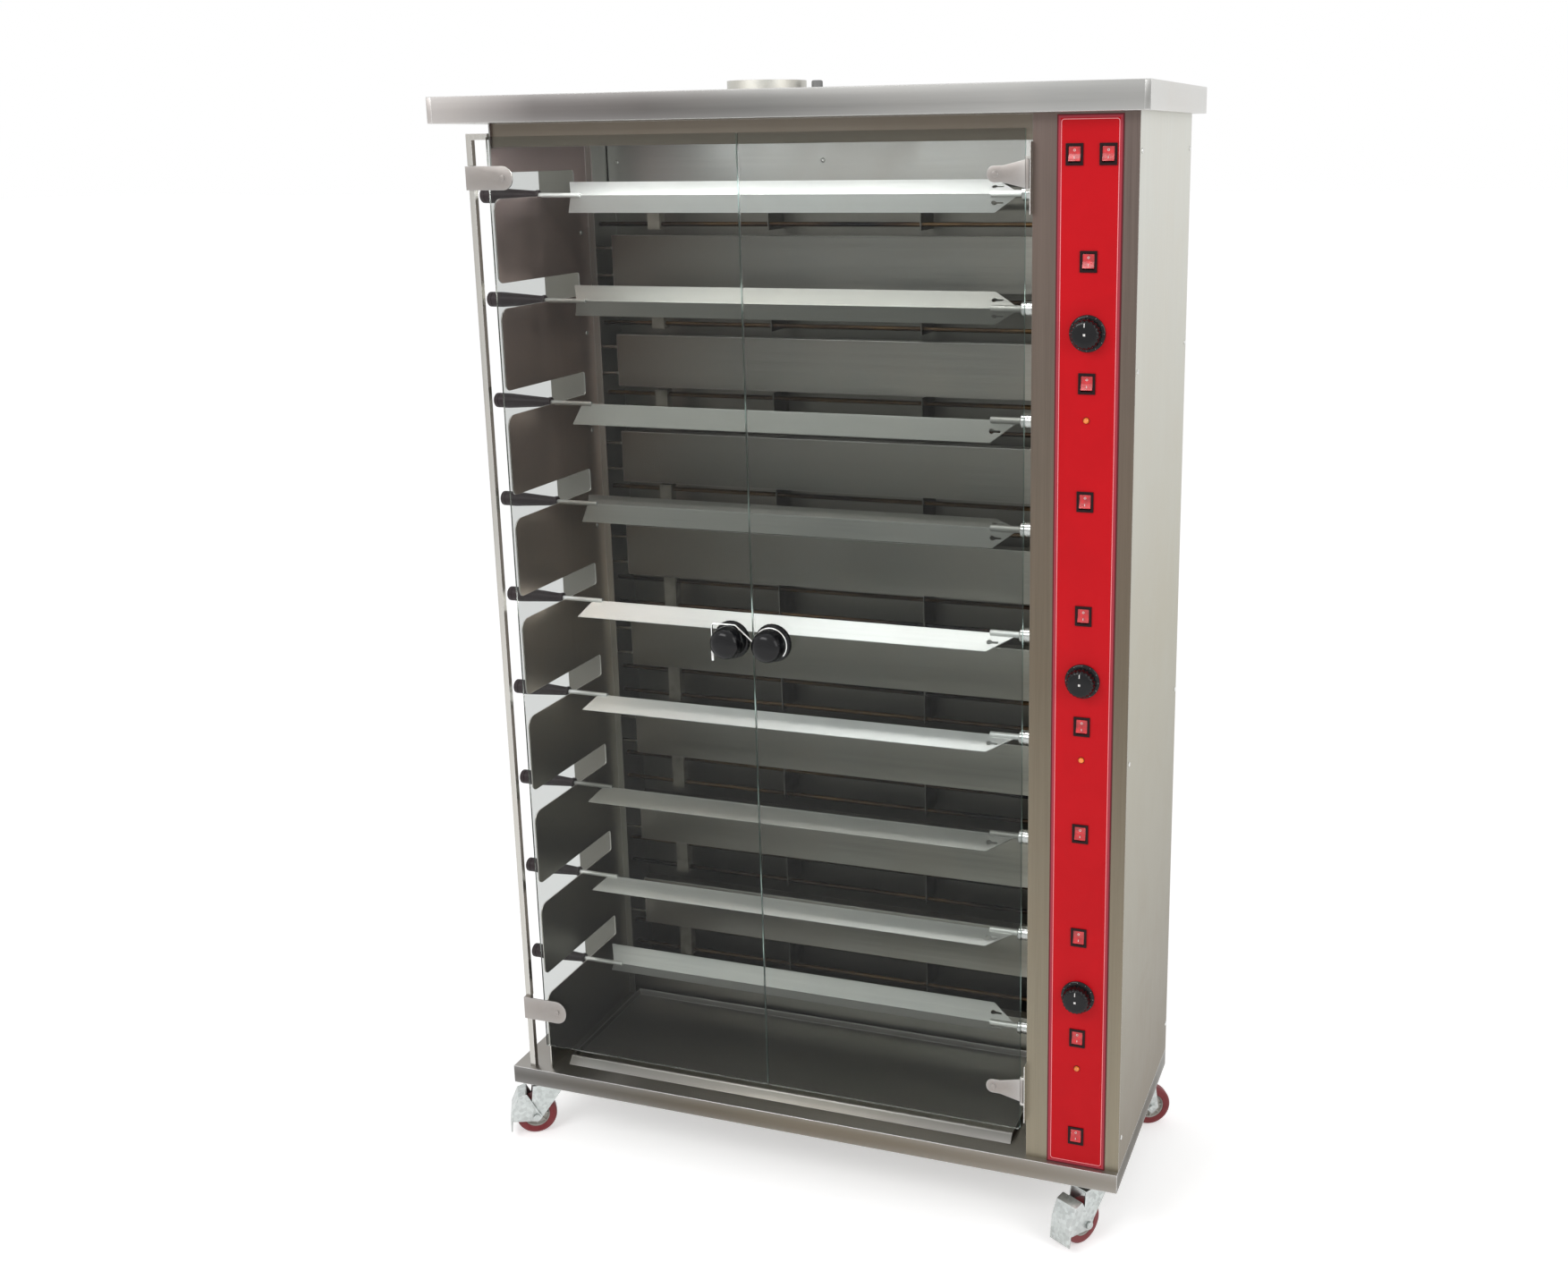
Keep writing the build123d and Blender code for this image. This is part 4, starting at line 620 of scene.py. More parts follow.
@dataclass(frozen=True)
class Heater(Finish):
    """Heater tubes with heat colours, and the ceramic blocks and hangers that hold them."""

    ceramic_span: tuple[float, float]
    hanger_spans: tuple[tuple[float, float], ...]

    def paint(self) -> bpy.types.Material:
        """Makes the material."""
        s = Surface(self.name)
        w = s.wiring
        along = w.add("ShaderNodeSeparateXYZ", {0: s.place})

        def within(span: tuple[float, float]) -> bpy.types.NodeSocket:
            """Returns a mask that is 1 between two places along X."""
            after = w.math("GREATER_THAN", along.outputs["X"], span[0])
            return w.math("MULTIPLY", after, w.math("LESS_THAN", along.outputs["X"], span[1]))

        ceramic = within(self.ceramic_span)
        hangers = w.math("ADD", *[within(span) for span in self.hanger_spans])
        heat = w.group(Effect.HEAT, {"Vector": s.place})
        cloud = w.group(Effect.MARKS, {"Vector": s.place, "Size": 0.02})
        texture = w.group(Effect.MOULDED, {"Vector": s.place, "Size": 0.0012})
        chalk = w.mix(cloud.outputs[0], (0.22, 0.2, 0.165), (0.13, 0.115, 0.095))
        colour = w.mix(hangers, heat.outputs[0], (0.16, 0.155, 0.14))
        s.set("Base Color", w.mix(ceramic, colour, chalk))
        s.set("Metallic", w.math("SUBTRACT", 1.0, ceramic, clamp=True))
        s.set("Roughness", w.fit(cloud.outputs[0], 0.0, 1.0, 0.45, 0.7))
        s.bump(texture.outputs["Height"], 0.00006, None, 0.6)
        return s.material


FRONT, BACK, LEFT, RIGHT = (0.0, -1.0, 0.0), (0.0, 1.0, 0.0), (-1.0, 0.0, 0.0), (1.0, 0.0, 0.0)
WHITE, MID_GREY = (1.0, 1.0, 1.0), (0.5, 0.5, 0.5)


@dataclass(frozen=True)
class Finishes:
    """Every finish of the rotisserie."""

    canopy: Steel = Steel(
        "canopy_steel", (0.64, 0.64, 0.62), Along.X, 0.38, 0.05, 0.08, 0.5, 0.4, 0.0012,
        # painted light and shade: front face toned along X where reflections fall, pale at the left end; back
        # and left side painted mid-grey
        shades=(
            Shade(
                "X", (-0.5725, 0.5975),
                (
                    (0.72, 0.68, 0.68), (0.24, 0.22, 0.22), (0.2, 0.19, 0.19), (0.27, 0.27, 0.27),
                    (0.39, 0.39, 0.39), (0.48, 0.48, 0.48), (0.46, 0.46, 0.46),
                ),
                FRONT,
            ),
            Shade("X", (-0.5, 0.5), (MID_GREY, MID_GREY), BACK),
            Shade("Y", (-0.2, 0.2), (MID_GREY, MID_GREY), LEFT),
        ),
    )
    column: Steel = Steel(
        "column_steel", (0.25, 0.235, 0.2), Along.Z, 0.36, 0.14, 0.1, 0.3, 0.25,
        # painted light and shade: lighter low down, darker towards the top
        shades=(Shade("Z", CABINET_HEIGHTS, ((1.0, 0.97, 0.87), (0.6, 0.53, 0.46), (0.56, 0.47, 0.5))),),
    )
    side: Steel = Steel(
        "side_steel", (0.66, 0.665, 0.62), Along.Z, 0.5, 0.05, 0.08, 0.4, 0.3,
        # painted shade: darker towards the bottom
        shades=(Shade("Z", CABINET_HEIGHTS, ((0.37, 0.33, 0.29), (0.68, 0.655, 0.59), WHITE)),),
    )
    base: Steel = Steel(
        "base_steel", (0.22, 0.205, 0.18), Along.X, 0.36, 0.1, 0.12, 0.3, 0.8, 0.0014,
        # painted light and shade: front darker at the left, lighter to the right; the right side painted
        # darker
        shades=(
            Shade(
                "X", (-0.55, 0.57), ((0.28, 0.275, 0.275), (0.76, 0.72, 0.65), (0.84, 0.82, 0.78)),
                FRONT,
            ),
            Shade("Y", (-0.2, 0.23), ((0.36, 0.335, 0.28), (0.36, 0.335, 0.28)), RIGHT),
        ),
    )
    comb: Steel = Steel(
        "comb_steel", (0.8, 0.775, 0.735), Along.Z, 0.34, 0.06, 0.08, 0.12, 0.5, 0.0006,
        # painted light and shade: each face of the comb wall toned by height, the side faces mostly darkened,
        # the front edges darker towards the top
        shades=(
            Shade(
                "Z", CABINET_HEIGHTS,
                (
                    (0.36, 0.36, 0.35), (0.45, 0.45, 0.43), (0.6, 0.59, 0.55), (1.0, 0.88, 0.79),
                    (1.0, 0.83, 0.8), (0.76, 0.62, 0.62), (0.36, 0.29, 0.3),
                ),
                RIGHT,
            ),
            Shade("Z", CABINET_HEIGHTS, ((0.31, 0.3, 0.29), (0.39, 0.37, 0.36)), LEFT),
            Shade("Z", CABINET_HEIGHTS, ((0.6, 0.61, 0.58), (0.26, 0.27, 0.27)), FRONT),
        ),
    )
    rear: Steel = Steel(
        "rear_steel", (0.42, 0.42, 0.4), Along.Z, 0.4, 0.08, 0.1, 0.35, 0.3,
        # painted shade: faces towards the front inside the back panel darker
        shades=(Shade("Y", (0.2257, 0.2267), ((0.5, 0.49, 0.46), WHITE), FRONT),),
    )
    reflector: Steel = Steel(
        "reflector_sheet", (0.62, 0.615, 0.57), Along.X, 0.36, 0.12, 0.1, 0.16, 0.35,
        # painted light and shade: darkest in the middle rows, lighter at bottom and top; darker at the left,
        # lighter to the right
        shades=(
            Shade(
                "Z", (0.15, 1.8),
                (
                    WHITE, (0.66, 0.66, 0.64), (0.54, 0.54, 0.52), (0.44, 0.44, 0.43),
                    (0.54, 0.53, 0.53), (0.72, 0.71, 0.71),
                ),
            ),
            Shade("X", (-0.48, 0.42), ((0.36, 0.34, 0.32), (0.8, 0.8, 0.8), (1.0, 1.0, 0.98))),
        ),
    )
    upper: Steel = Steel(
        "upper_panel_steel", (0.42, 0.425, 0.415), Along.X, 0.38, 0.08, 0.12, 0.3, 0.3,
        # painted shade: the fascia at the front darker and browner than the rest of the panel
        shades=(Shade("Y", (-0.18, -0.15), ((0.38, 0.33, 0.28), WHITE)),),
    )
    # lit and shaded copies of one spit steel: painted light and shade, spit by spit
    spit_lit: Steel = Steel(
        "spit_bright_steel", (0.88, 0.89, 0.88), Along.X, 0.46, 0.05, 0.03, 0.1, 0.5, 0.0006, metal=0.6,
    )
    spit_mid_lit: Steel = Steel(
        "spit_satin_steel", (0.8, 0.8, 0.77), Along.X, 0.4, 0.08, 0.04, 0.1, 0.6, 0.0006, metal=0.6,
    )
    spit_shaded: Steel = Steel(
        "spit_dull_steel", (0.32, 0.32, 0.295), Along.X, 0.44, 0.1, 0.05, 0.1, 0.6, 0.0006, metal=0.6,
    )
    tray: Steel = Steel(
        "tray_steel", (0.52, 0.5, 0.49), Along.X, 0.34, 0.08, 0.08, 0.2, 0.2, 0.0008,
        # painted shade: the tray floor below the rim and the rims behind the front lip darker
        shades=(
            Shade("Z", (0.1545, 0.1562), ((0.5, 0.5, 0.47), WHITE)),
            Shade("Y", (-0.2, -0.18), (WHITE, (0.6, 0.6, 0.58))),
        ),
    )
    bracket: Steel = Steel("bracket_steel", (0.3, 0.278, 0.262), Along.ALL, 0.34, 0.06, 0.08, 0.05, 0.5)
    post: Steel = Steel("post_steel", (0.5, 0.49, 0.46), Along.Z, 0.16, 0.08, 0.06, 0.1, 0.7, 0.0008)
    vent: Steel = Steel("vent_steel", (0.58, 0.58, 0.54), Along.ALL, 0.4, 0.08, 0.1, 0.05, 0.5)
    chrome: Plated = Plated("chrome", (0.72, 0.73, 0.72), 0.12, 0.03, -1.0, -0.9)
    wire: Plated = Plated("bright_wire", (0.82, 0.82, 0.8), 0.16, 0.03, -1.0, -0.9)
    zinc: Plated = Plated("zinc_plate", (0.52, 0.55, 0.54), 0.3, 0.14, 0.0, 0.05)
    screw: Plated = Plated("screw_steel", (0.62, 0.62, 0.6), 0.22, 0.05, -1.0, -0.9)
    motor: Plated = Plated("motor_casting", (0.3, 0.31, 0.32), 0.45, 0.1, -1.0, -0.9)
    handle: Plastic = Plastic(
        "handle_black", (0.02, 0.011, 0.013), 0.42, 0.0014, 0.00005, 0.1, edge=0.05, gleam=0.3,
    )
    gloss: Plastic = Plastic(
        "gloss_black", (0.004, 0.004, 0.005), 0.16, 0.002, 0.00001, 0.02, 0.15, 0.015, gleam=0.2,
    )
    bezel: Plastic = Plastic(
        "bezel_black", (0.014, 0.003, 0.004), 0.3, 0.0012, 0.00003, 0.02, 0.05, 0.03, gleam=0.15,
    )
    grey: Plastic = Plastic("gland_grey", (0.2, 0.2, 0.2), 0.4)
    hub: Plastic = Plastic("hub_pale", (0.5, 0.48, 0.44), 0.4, 0.0015, 0.00004, 0.3)
    tread: Plastic = Plastic("tread_red", (0.19, 0.006, 0.01), 0.36, 0.0016, 0.00006, 0.25)
    paint: Plastic = Plastic("white_marks", (0.78, 0.76, 0.74), 0.4, 0.0006, 0.00001, 0.1)
    trim: Plastic = Plastic("printed_line", (0.86, 0.3, 0.33), 0.34, 0.002, 0.00001, 0.1, 0.3)
    rocker: Lens = Lens("rocker_red", (0.68, 0.012, 0.02), 0.12)
    amber: Lens = Lens("lamp_amber", (0.78, 0.21, 0.02), 0.35)
    tube: Lens = Lens("lamp_tube", (0.86, 0.84, 0.78), 0.8)
    glass: Pane = Pane("door_glass")
    plate: Enamel = Enamel(
        "control_plate_red", (0.6, 0.006, 0.012), (0.42, 0.05, 0.07),
        (COLUMN_MIDDLE, PLATE_FRONT, PLATE_MIDDLE), (48.7 * MM, 1.0, 841.0 * MM), 5.6 * MM,
    )
    heater: Heater = Heater("heater_tubes", (-0.3816, -0.3574), ((-0.1486, -0.1464), (0.1324, 0.1346)))


FINISH = Finishes()


def mesh_of(bm: bmesh.types.BMesh, name: str) -> bpy.types.Mesh:
    """Returns a mesh made of a bmesh, which ends with it."""
    mesh = bpy.data.meshes.new(name)
    bm.to_mesh(mesh)
    bm.free()
    return mesh


def round_edges(bm: bmesh.types.BMesh, edges: Sequence[bmesh.types.BMEdge], radius: float) -> None:
    """Rounds edges of a mesh to a radius in millimetres."""
    bmesh.ops.bevel(
        bm, geom=edges, offset=radius * MM, segments=2, profile=0.6, affect="EDGES", clamp_overlap=True
    )


class Form:
    """A mesh under construction, in metres in the frame's axes."""

    def __init__(self) -> None:
        """Starts an empty mesh."""
        self.bm = bmesh.new()

    def turned(
        self,
        profile: Profile,
        place: Matrix,
        slot: int = 0,
        steps: int = 48,
        flutes: int = 0,
        flute_depth: float = 0.0,
        fluted: tuple[float, float] = (0.0, 0.0),
    ) -> None:
        """Adds a piece turned about its local Z.

        Args:
            profile: Height and radius of each ring in millimetres, closed at both ends by radius 0.
            place: Place of the piece.
            slot: Number of the finish.
            steps: Points on each ring.
            flutes: Number of grooves round it.
            flute_depth: Depth of a groove in millimetres.
            fluted: Heights between which the grooves run.
        """
        rings = []
        for height, radius in profile:
            if radius == 0.0:
                rings.append([self.bm.verts.new(place @ Vector((0, 0, height * MM)))])
                continue
            ring = []
            for i in range(steps):
                turn = 2 * math.pi * i / steps
                reach = radius
                if flutes and fluted[0] <= height <= fluted[1]:
                    reach -= flute_depth * (0.5 + 0.5 * math.cos(flutes * turn)) ** 2
                point = Vector((reach * math.cos(turn), reach * math.sin(turn), height)) * MM
                ring.append(self.bm.verts.new(place @ point))
            rings.append(ring)
        self.join_rings(rings, slot)

    def join_rings(self, rings: Sequence[Sequence[bmesh.types.BMVert]], slot: int) -> None:
        """Spans faces between rings of vertices that follow one another, where one vertex is a tip."""
        for low, high in zip(rings[:-1], rings[1:]):
            steps = max(len(low), len(high))
            for i in range(steps):
                j = (i + 1) % steps
                if len(low) == 1:
                    corners = [low[0], high[j], high[i]]
                elif len(high) == 1:
                    corners = [low[i], low[j], high[0]]
                else:
                    corners = [low[i], low[j], high[j], high[i]]
                self.bm.faces.new(corners).material_index = slot

    def prism(
        self, outline: Profile, thickness: float, place: Matrix, slot: int = 0, bevel: float = 0.3
    ) -> None:
        """Adds a flat outline given a thickness along its local Z, with rounded edges.

        Args:
            outline: Corners in millimetres, anticlockwise.
            thickness: Thickness in millimetres.
            place: Place of the outline's plane.
            slot: Number of the finish.
            bevel: Radius of the edges in millimetres.
        """
        low = [self.bm.verts.new(place @ (Vector((x, y, 0)) * MM)) for x, y in outline]
        high = [self.bm.verts.new(place @ (Vector((x, y, thickness)) * MM)) for x, y in outline]
        faces = [self.bm.faces.new(list(reversed(low))), self.bm.faces.new(high)]
        for i in range(len(low)):
            j = (i + 1) % len(low)
            faces.append(self.bm.faces.new([low[i], low[j], high[j], high[i]]))
        for face in faces:
            face.material_index = slot
        if bevel:
            round_edges(self.bm, list(dict.fromkeys(edge for face in faces for edge in face.edges)), bevel)

    def box(self, low: Point, high: Point, slot: int = 0, bevel: float = 0.3) -> None:
        """Adds a box between two corners in millimetres, with rounded edges."""
        outline = [(low[0], low[1]), (high[0], low[1]), (high[0], high[1]), (low[0], high[1])]
        self.prism(outline, high[2] - low[2], Matrix.Translation((0, 0, low[2] * MM)), slot, bevel)

    def tube(self, path: Sequence[Vector], radius: float, slot: int = 0, steps: int = 14) -> None:
        """Adds a round wire along a path with domed ends.

        Args:
            path: Points of the middle line in metres.
            radius: Radius in metres.
            slot: Number of the finish.
            steps: Points on each ring.
        """
        tangents = []
        for i in range(len(path)):
            before, after = path[max(i - 1, 0)], path[min(i + 1, len(path) - 1)]
            tangents.append((after - before).normalized())
        side = tangents[0].orthogonal().normalized()
        rings = []
        for point, tangent in zip(path, tangents):
            side = (side - tangent * side.dot(tangent)).normalized()
            over = tangent.cross(side)
            ring = []
            for i in range(steps):
                turn = 2 * math.pi * i / steps
                outwards = side * math.cos(turn) + over * math.sin(turn)
                ring.append(self.bm.verts.new(point + radius * outwards))
            rings.append(ring)
        first, last = (
            [self.bm.verts.new(path[end] + tangents[end] * radius * reach)]
            for end, reach in ((0, -0.5), (-1, 0.5))
        )
        self.join_rings([first, *rings, last], slot)

    def add_mesh(self, mesh: bpy.types.Mesh, place: Matrix, slot: int = 0) -> None:
        """Adds a copy of a mesh at a place."""
        before = set(self.bm.faces)
        mesh.transform(place)
        self.bm.from_mesh(mesh)
        for face in self.bm.faces:
            if face not in before:
                face.material_index = slot
        bpy.data.meshes.remove(mesh)

    def finish(
        self,
        name: str,
        body: str,
        finishes: Sequence[Finish],
        replaces: Sequence[str] = (),
        slot: str | None = None,
        sharp: float = 32.0,
    ) -> bpy.types.Object:
        """Turns the mesh into a piece on a body.

        Args:
            name: Name of the piece.
            body: Name of the body that it rides on.
            finishes: Finish of each slot number.
            replaces: Nodes that it stands for.
            slot: Not used.
            sharp: Angle in degrees past which an edge stays sharp.

        Returns:
            The piece.
        """
        self.bm.normal_update()
        return as_piece(mesh_of(self.bm, name), name, body, finishes, replaces, sharp)


def linked(name: str, data: bpy.types.ID) -> bpy.types.Object:
    """Returns a new object of some data, linked to the scene."""
    made = bpy.data.objects.new(name, data)
    bpy.context.scene.collection.objects.link(made)
    return made


def evaluated(holder: bpy.types.Object) -> bpy.types.Mesh:
    """Returns the plain mesh that an object's modifiers or curve give, and removes the object."""
    drawn = holder.evaluated_get(bpy.context.evaluated_depsgraph_get())
    mesh = bpy.data.meshes.new_from_object(drawn)
    used = holder.data
    holder.modifiers.clear()
    bpy.data.objects.remove(holder)
    (bpy.data.curves if isinstance(used, bpy.types.Curve) else bpy.data.meshes).remove(used)
    return mesh


def as_piece(
    mesh: bpy.types.Mesh,
    name: str,
    body: str,
    finishes: Sequence[Finish],
    replaces: Sequence[str] = (),
    sharp: float = 32.0,
) -> bpy.types.Object:
    """Makes a piece of a finished mesh.

    Args:
        mesh: The mesh, in place.
        name: Name of the piece.
        body: Name of the body that it rides on.
        finishes: Finish of each material number.
        replaces: Nodes that it stands for.
        sharp: Angle in degrees past which an edge stays sharp.

    Returns:
        The piece.
    """
    mesh.name = name
    numbers = [min(polygon.material_index, len(finishes) - 1) for polygon in mesh.polygons]
    mesh.materials.clear()
    for finish in finishes:
        mesh.materials.append(finish.material())
    mesh.polygons.foreach_set("material_index", numbers)
    mesh.polygons.foreach_set("use_smooth", [True] * len(mesh.polygons))
    mesh.set_sharp_from_angle(angle=math.radians(sharp))
    piece = linked(name, mesh)
    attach(piece, body)
    if replaces:
        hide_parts(*replaces)
    log.info("%s on %s, %d faces", name, body, len(mesh.polygons))
    return piece


def softened(
    node: str,
    name: str,
    body: str,
    finish: Finish,
    radius: float,
    leave_out: Callable[[Vector], bool] | None = None,
    weld: bool = False,
) -> bpy.types.Object:
    """Makes a copy of a node with rounded edges, which stands for the node.

    Args:
        node: Name of the node.
        name: Name of the piece.
        body: Name of its body.
        finish: Its finish.
        radius: Radius of the edges in millimetres.
        leave_out: Tells from an island's middle whether the copy goes without it.
        weld: Whether plates that meet face to face become one sheet.

    Returns:
        The piece.
    """
    bm = bmesh.new()
    bm.from_mesh(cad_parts[node].data)
    if weld:
        bm = welded(bm, name)
    bmesh.ops.remove_doubles(bm, verts=bm.verts, dist=SAME_PLACE)
    if leave_out is not None:
        for island in islands(bm):
            middle = sum((v.co for v in island), Vector()) / len(island)
            if leave_out(middle):
                bmesh.ops.delete(bm, geom=island, context="VERTS")
    bmesh.ops.dissolve_limit(
        bm, angle_limit=math.radians(0.5), verts=bm.verts, edges=bm.edges, delimit={"NORMAL"}
    )
    edges = [e for e in bm.edges if len(e.link_faces) == 2 and e.calc_face_angle(0.0) > math.radians(28)]
    round_edges(bm, edges, radius)
    return as_piece(mesh_of(bm, name), name, body, [finish], [node])


def islands(bm: bmesh.types.BMesh) -> list[list]:
    """Returns the groups of joined vertices of a mesh, each in an order that never changes."""
    seen: set = set()
    found = []
    for start in bm.verts:
        if start in seen:
            continue
        group, queue = [], [start]
        seen.add(start)
        while queue:
            vertex = queue.pop()
            group.append(vertex)
            for edge in vertex.link_edges:
                other = edge.other_vert(vertex)
                if other not in seen:
                    seen.add(other)
                    queue.append(other)
        found.append(group)
    return found


def closed_solids(bm: bmesh.types.BMesh) -> list[list]:
    """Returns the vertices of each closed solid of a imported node, whose faces follow one another."""
    found: list[list] = []
    group: dict = {}
    open_edges: set = set()
    for face in bm.faces:
        group.update(dict.fromkeys(face.verts))
        for edge in face.edges:
            ends = (tuple(round(c, 6) for c in vertex.co) for vertex in edge.verts)
            open_edges ^= {frozenset(ends)}
        if not open_edges:
            found.append(list(group))
            group = {}
    return found + ([list(group)] if group else [])


def welded(bm: bmesh.types.BMesh, name: str) -> bmesh.types.BMesh:
    """Joins plates that meet face to face into one sheet.

    Args:
        bm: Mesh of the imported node, freed here.
        name: Name for the meshes in between.

    Returns:
        The joined mesh.
    """
    for group in closed_solids(bm):
        bmesh.ops.remove_doubles(bm, verts=group, dist=SAME_PLACE)
    parts = []
    for first in (True, False):
        part = bm.copy()
        groups = islands(part)
        for group in groups[1:] if first else groups[:1]:
            bmesh.ops.delete(part, geom=group, context="VERTS")
        parts.append(linked(name, mesh_of(part, name)))
    bm.free()
    union = parts[0].modifiers.new("union", "BOOLEAN")
    union.operation, union.solver = "UNION", "EXACT"
    union.use_self, union.object = True, parts[1]
    mesh = evaluated(parts[0])
    joined = bmesh.new()
    joined.from_mesh(mesh)
    bpy.data.meshes.remove(mesh)
    drop_part(parts[1])
    return joined


class Rule:
    """A geometry nodes tree with named inputs, run once into a plain mesh."""

    def __init__(self, name: str, inputs: Sequence[SocketSpec]) -> None:
        """Starts the tree.

        Args:
            name: Name of the tree.
            inputs: Name, kind and starting value of each input after the geometry.
        """
        self.tree = bpy.data.node_groups.new(name, "GeometryNodeTree")
        face = self.tree.interface
        face.new_socket("Geometry", in_out="INPUT", socket_type="NodeSocketGeometry")
        face.new_socket("Geometry", in_out="OUTPUT", socket_type="NodeSocketGeometry")
        self.keys = {}
        for label, kind, value in [*inputs, ("Finish", "Material", None)]:
            socket = face.new_socket(label, in_out="INPUT", socket_type=f"NodeSocket{kind}")
            if value is not None:
                socket.default_value = value
            self.keys[label] = socket.identifier
        self.wiring = Wiring(self.tree)
        self.given = self.wiring.add("NodeGroupInput").outputs
        self.out = self.wiring.add("NodeGroupOutput")

    def close(self, geometry: object) -> None:
        """Makes the copies real, sets the finish and ends the tree."""
        real = self.wiring.add("GeometryNodeRealizeInstances", {0: geometry})
        painted = self.wiring.add("GeometryNodeSetMaterial", {0: real, "Material": self.given["Finish"]})
        self.wiring.feed(self.out.inputs[0], painted.outputs[0])

    def run(
        self, name: str, body: str, finish: Finish, points: Sequence[Point] = ((0.0, 0.0, 0.0),),
        place: Matrix | None = None, replaces: Sequence[str] = (), slot: str | None = None,
        **values: object,
    ) -> bpy.types.Object:
        """Runs the tree on points and makes a piece of the result.

        Args:
            name: Name of the piece.
            body: Body that it rides on.
            finish: Its finish.
            points: Points of the mesh that the tree starts from.
            place: Place of the result.
            replaces: Nodes that it stands for.
            slot: Not used.
            values: Values of the named inputs, with _ for each space.

        Returns:
            The piece.
        """
        start = bpy.data.meshes.new(f"{name}_points")
        start.from_pydata([tuple(p) for p in points], [], [])
        holder = linked(f"{name}_points", start)
        modifier = holder.modifiers.new("rule", "NODES")
        modifier.node_group = self.tree
        for label, value in values.items():
            modifier[self.keys[label.replace("_", " ")]] = value
        modifier[self.keys["Finish"]] = finish.material()
        holder.update_tag()
        mesh = evaluated(holder)
        if place is not None:
            mesh.transform(place)
        return as_piece(mesh, name, body, [finish], replaces)


class Rules:
    """The geometry nodes trees that more than one piece uses."""

    def __init__(self) -> None:
        """Builds the trees."""
        self.on_points = self._on_points()
        self.guard = self._guard()
        self.line = self._line()
        self.spokes = self._spokes()

    def set_parts(
        self, name: str, body: str, finish: Finish, points: Sequence[Point], part: bpy.types.Object,
        axis: Axis, seed: int, **ties: object,
    ) -> bpy.types.Object:
        """Sets one part on each point.

        Args:
            name: Name of the piece.
            body: Body that it rides on.
            finish: Its finish.
            points: Places of the part's foot in metres.
            part: The part.
            axis: Direction of the part's length.
            seed: Seed of the turns about that axis.
            ties: The nodes that the piece replaces, and a slot, both passed on to the rule's run.

        Returns:
            The piece.
        """
        facing = axis.value.to_euler()
        return self.on_points.run(name, body, finish, points, Part=part, Facing=facing, Seed=seed, **ties)

    def _on_points(self) -> Rule:
        """Returns the rule that sets one part on each point, each turned at random about its axis."""
        rule = Rule(
            "part_on_points",
            [
                ("Part", "Object", None), ("Facing", "Rotation", None), ("Most Turn", "Float", 6.28),
                ("Seed", "Int", 3),
            ],
        )
        w, given = rule.wiring, rule.given
        part = w.add("GeometryNodeObjectInfo", {"Object": given["Part"]}, transform_space="ORIGINAL")
        spin = w.add("FunctionNodeRandomValue", data_type="FLOAT")
        w.feed(spin.inputs[3], given["Most Turn"])
        w.feed(spin.inputs["Seed"], given["Seed"])
        about = w.add("ShaderNodeCombineXYZ", {2: spin.outputs[1]})
        turned = w.add(
            "FunctionNodeRotateRotation", {0: given["Facing"], 1: about.outputs[0]}, rotation_space="LOCAL"
        )
        copies = w.add(
            "GeometryNodeInstanceOnPoints",
            {
                "Points": given["Geometry"], "Instance": part.outputs["Geometry"],
                "Rotation": turned.outputs[0],
            },
        )
        rule.close(copies.outputs[0])
        return rule

    def _spokes(self) -> Rule:
        """Returns the rule of flat marks or spokes that point outwards round a ring."""
        rule = Rule(
            "spokes_round_ring",
            [
                ("Count", "Int", 12), ("Ring Radius", "Float", 0.02),
                ("Size", "Vector", (0.004, 0.001, 0.001)), ("Level", "Float", 0.0),
            ],
        )
        w, given = rule.wiring, rule.given
        ring = w.add("GeometryNodeMeshCircle", {"Vertices": given["Count"], "Radius": given["Ring Radius"]})
        bar = w.add("GeometryNodeMeshCube", {"Size": given["Size"]})
        step = w.math("DIVIDE", 2 * math.pi, given["Count"])
        angle = w.math("MULTIPLY", w.add("GeometryNodeInputIndex").outputs[0], step)
        facing = w.add("ShaderNodeCombineXYZ", {2: angle})
        copies = w.add(
            "GeometryNodeInstanceOnPoints",
            {"Points": ring.outputs[0], "Instance": bar.outputs[0], "Rotation": facing.outputs[0]},
        )
        lift = w.add("ShaderNodeCombineXYZ", {2: given["Level"]})
        raised = w.add("GeometryNodeTransform", {0: copies.outputs[0], "Translation": lift.outputs[0]})
        rule.close(raised.outputs[0])
        return rule

    def _guard(self) -> Rule:
        """Returns the rule of a finger guard: wire rings one inside the other."""
        rule = Rule(
            "wire_rings",
            [
                ("Rings", "Int", 5), ("Inner Radius", "Float", 0.01), ("Outer Radius", "Float", 0.05),
                ("Wire", "Float", 0.001),
            ],
        )
        w, given = rule.wiring, rule.given
        line = w.add("GeometryNodeMeshLine", {"Count": given["Rings"], "Offset": (0.0, 0.0, 0.0)})
        ring = w.add("GeometryNodeCurvePrimitiveCircle", {"Resolution": 56, "Radius": given["Outer Radius"]})
        least = w.math("DIVIDE", given["Inner Radius"], given["Outer Radius"])
        index = w.add("GeometryNodeInputIndex").outputs[0]
        share = w.math("DIVIDE", index, w.math("SUBTRACT", given["Rings"], 1.0))
        size = w.math("ADD", least, w.math("MULTIPLY", share, w.math("SUBTRACT", 1.0, least)))
        sized = w.add("ShaderNodeCombineXYZ", {0: size, 1: size, 2: size})
        copies = w.add(
            "GeometryNodeInstanceOnPoints",
            {"Points": line.outputs[0], "Instance": ring.outputs[0], "Scale": sized.outputs[0]},
        )
        real = w.add("GeometryNodeRealizeInstances", {0: copies.outputs[0]})
        wire = w.add("GeometryNodeCurvePrimitiveCircle", {"Resolution": 8, "Radius": given["Wire"]})
        solid = w.add("GeometryNodeCurveToMesh", {0: real.outputs[0], 1: wire.outputs[0]})
        rule.close(solid.outputs[0])
        return rule

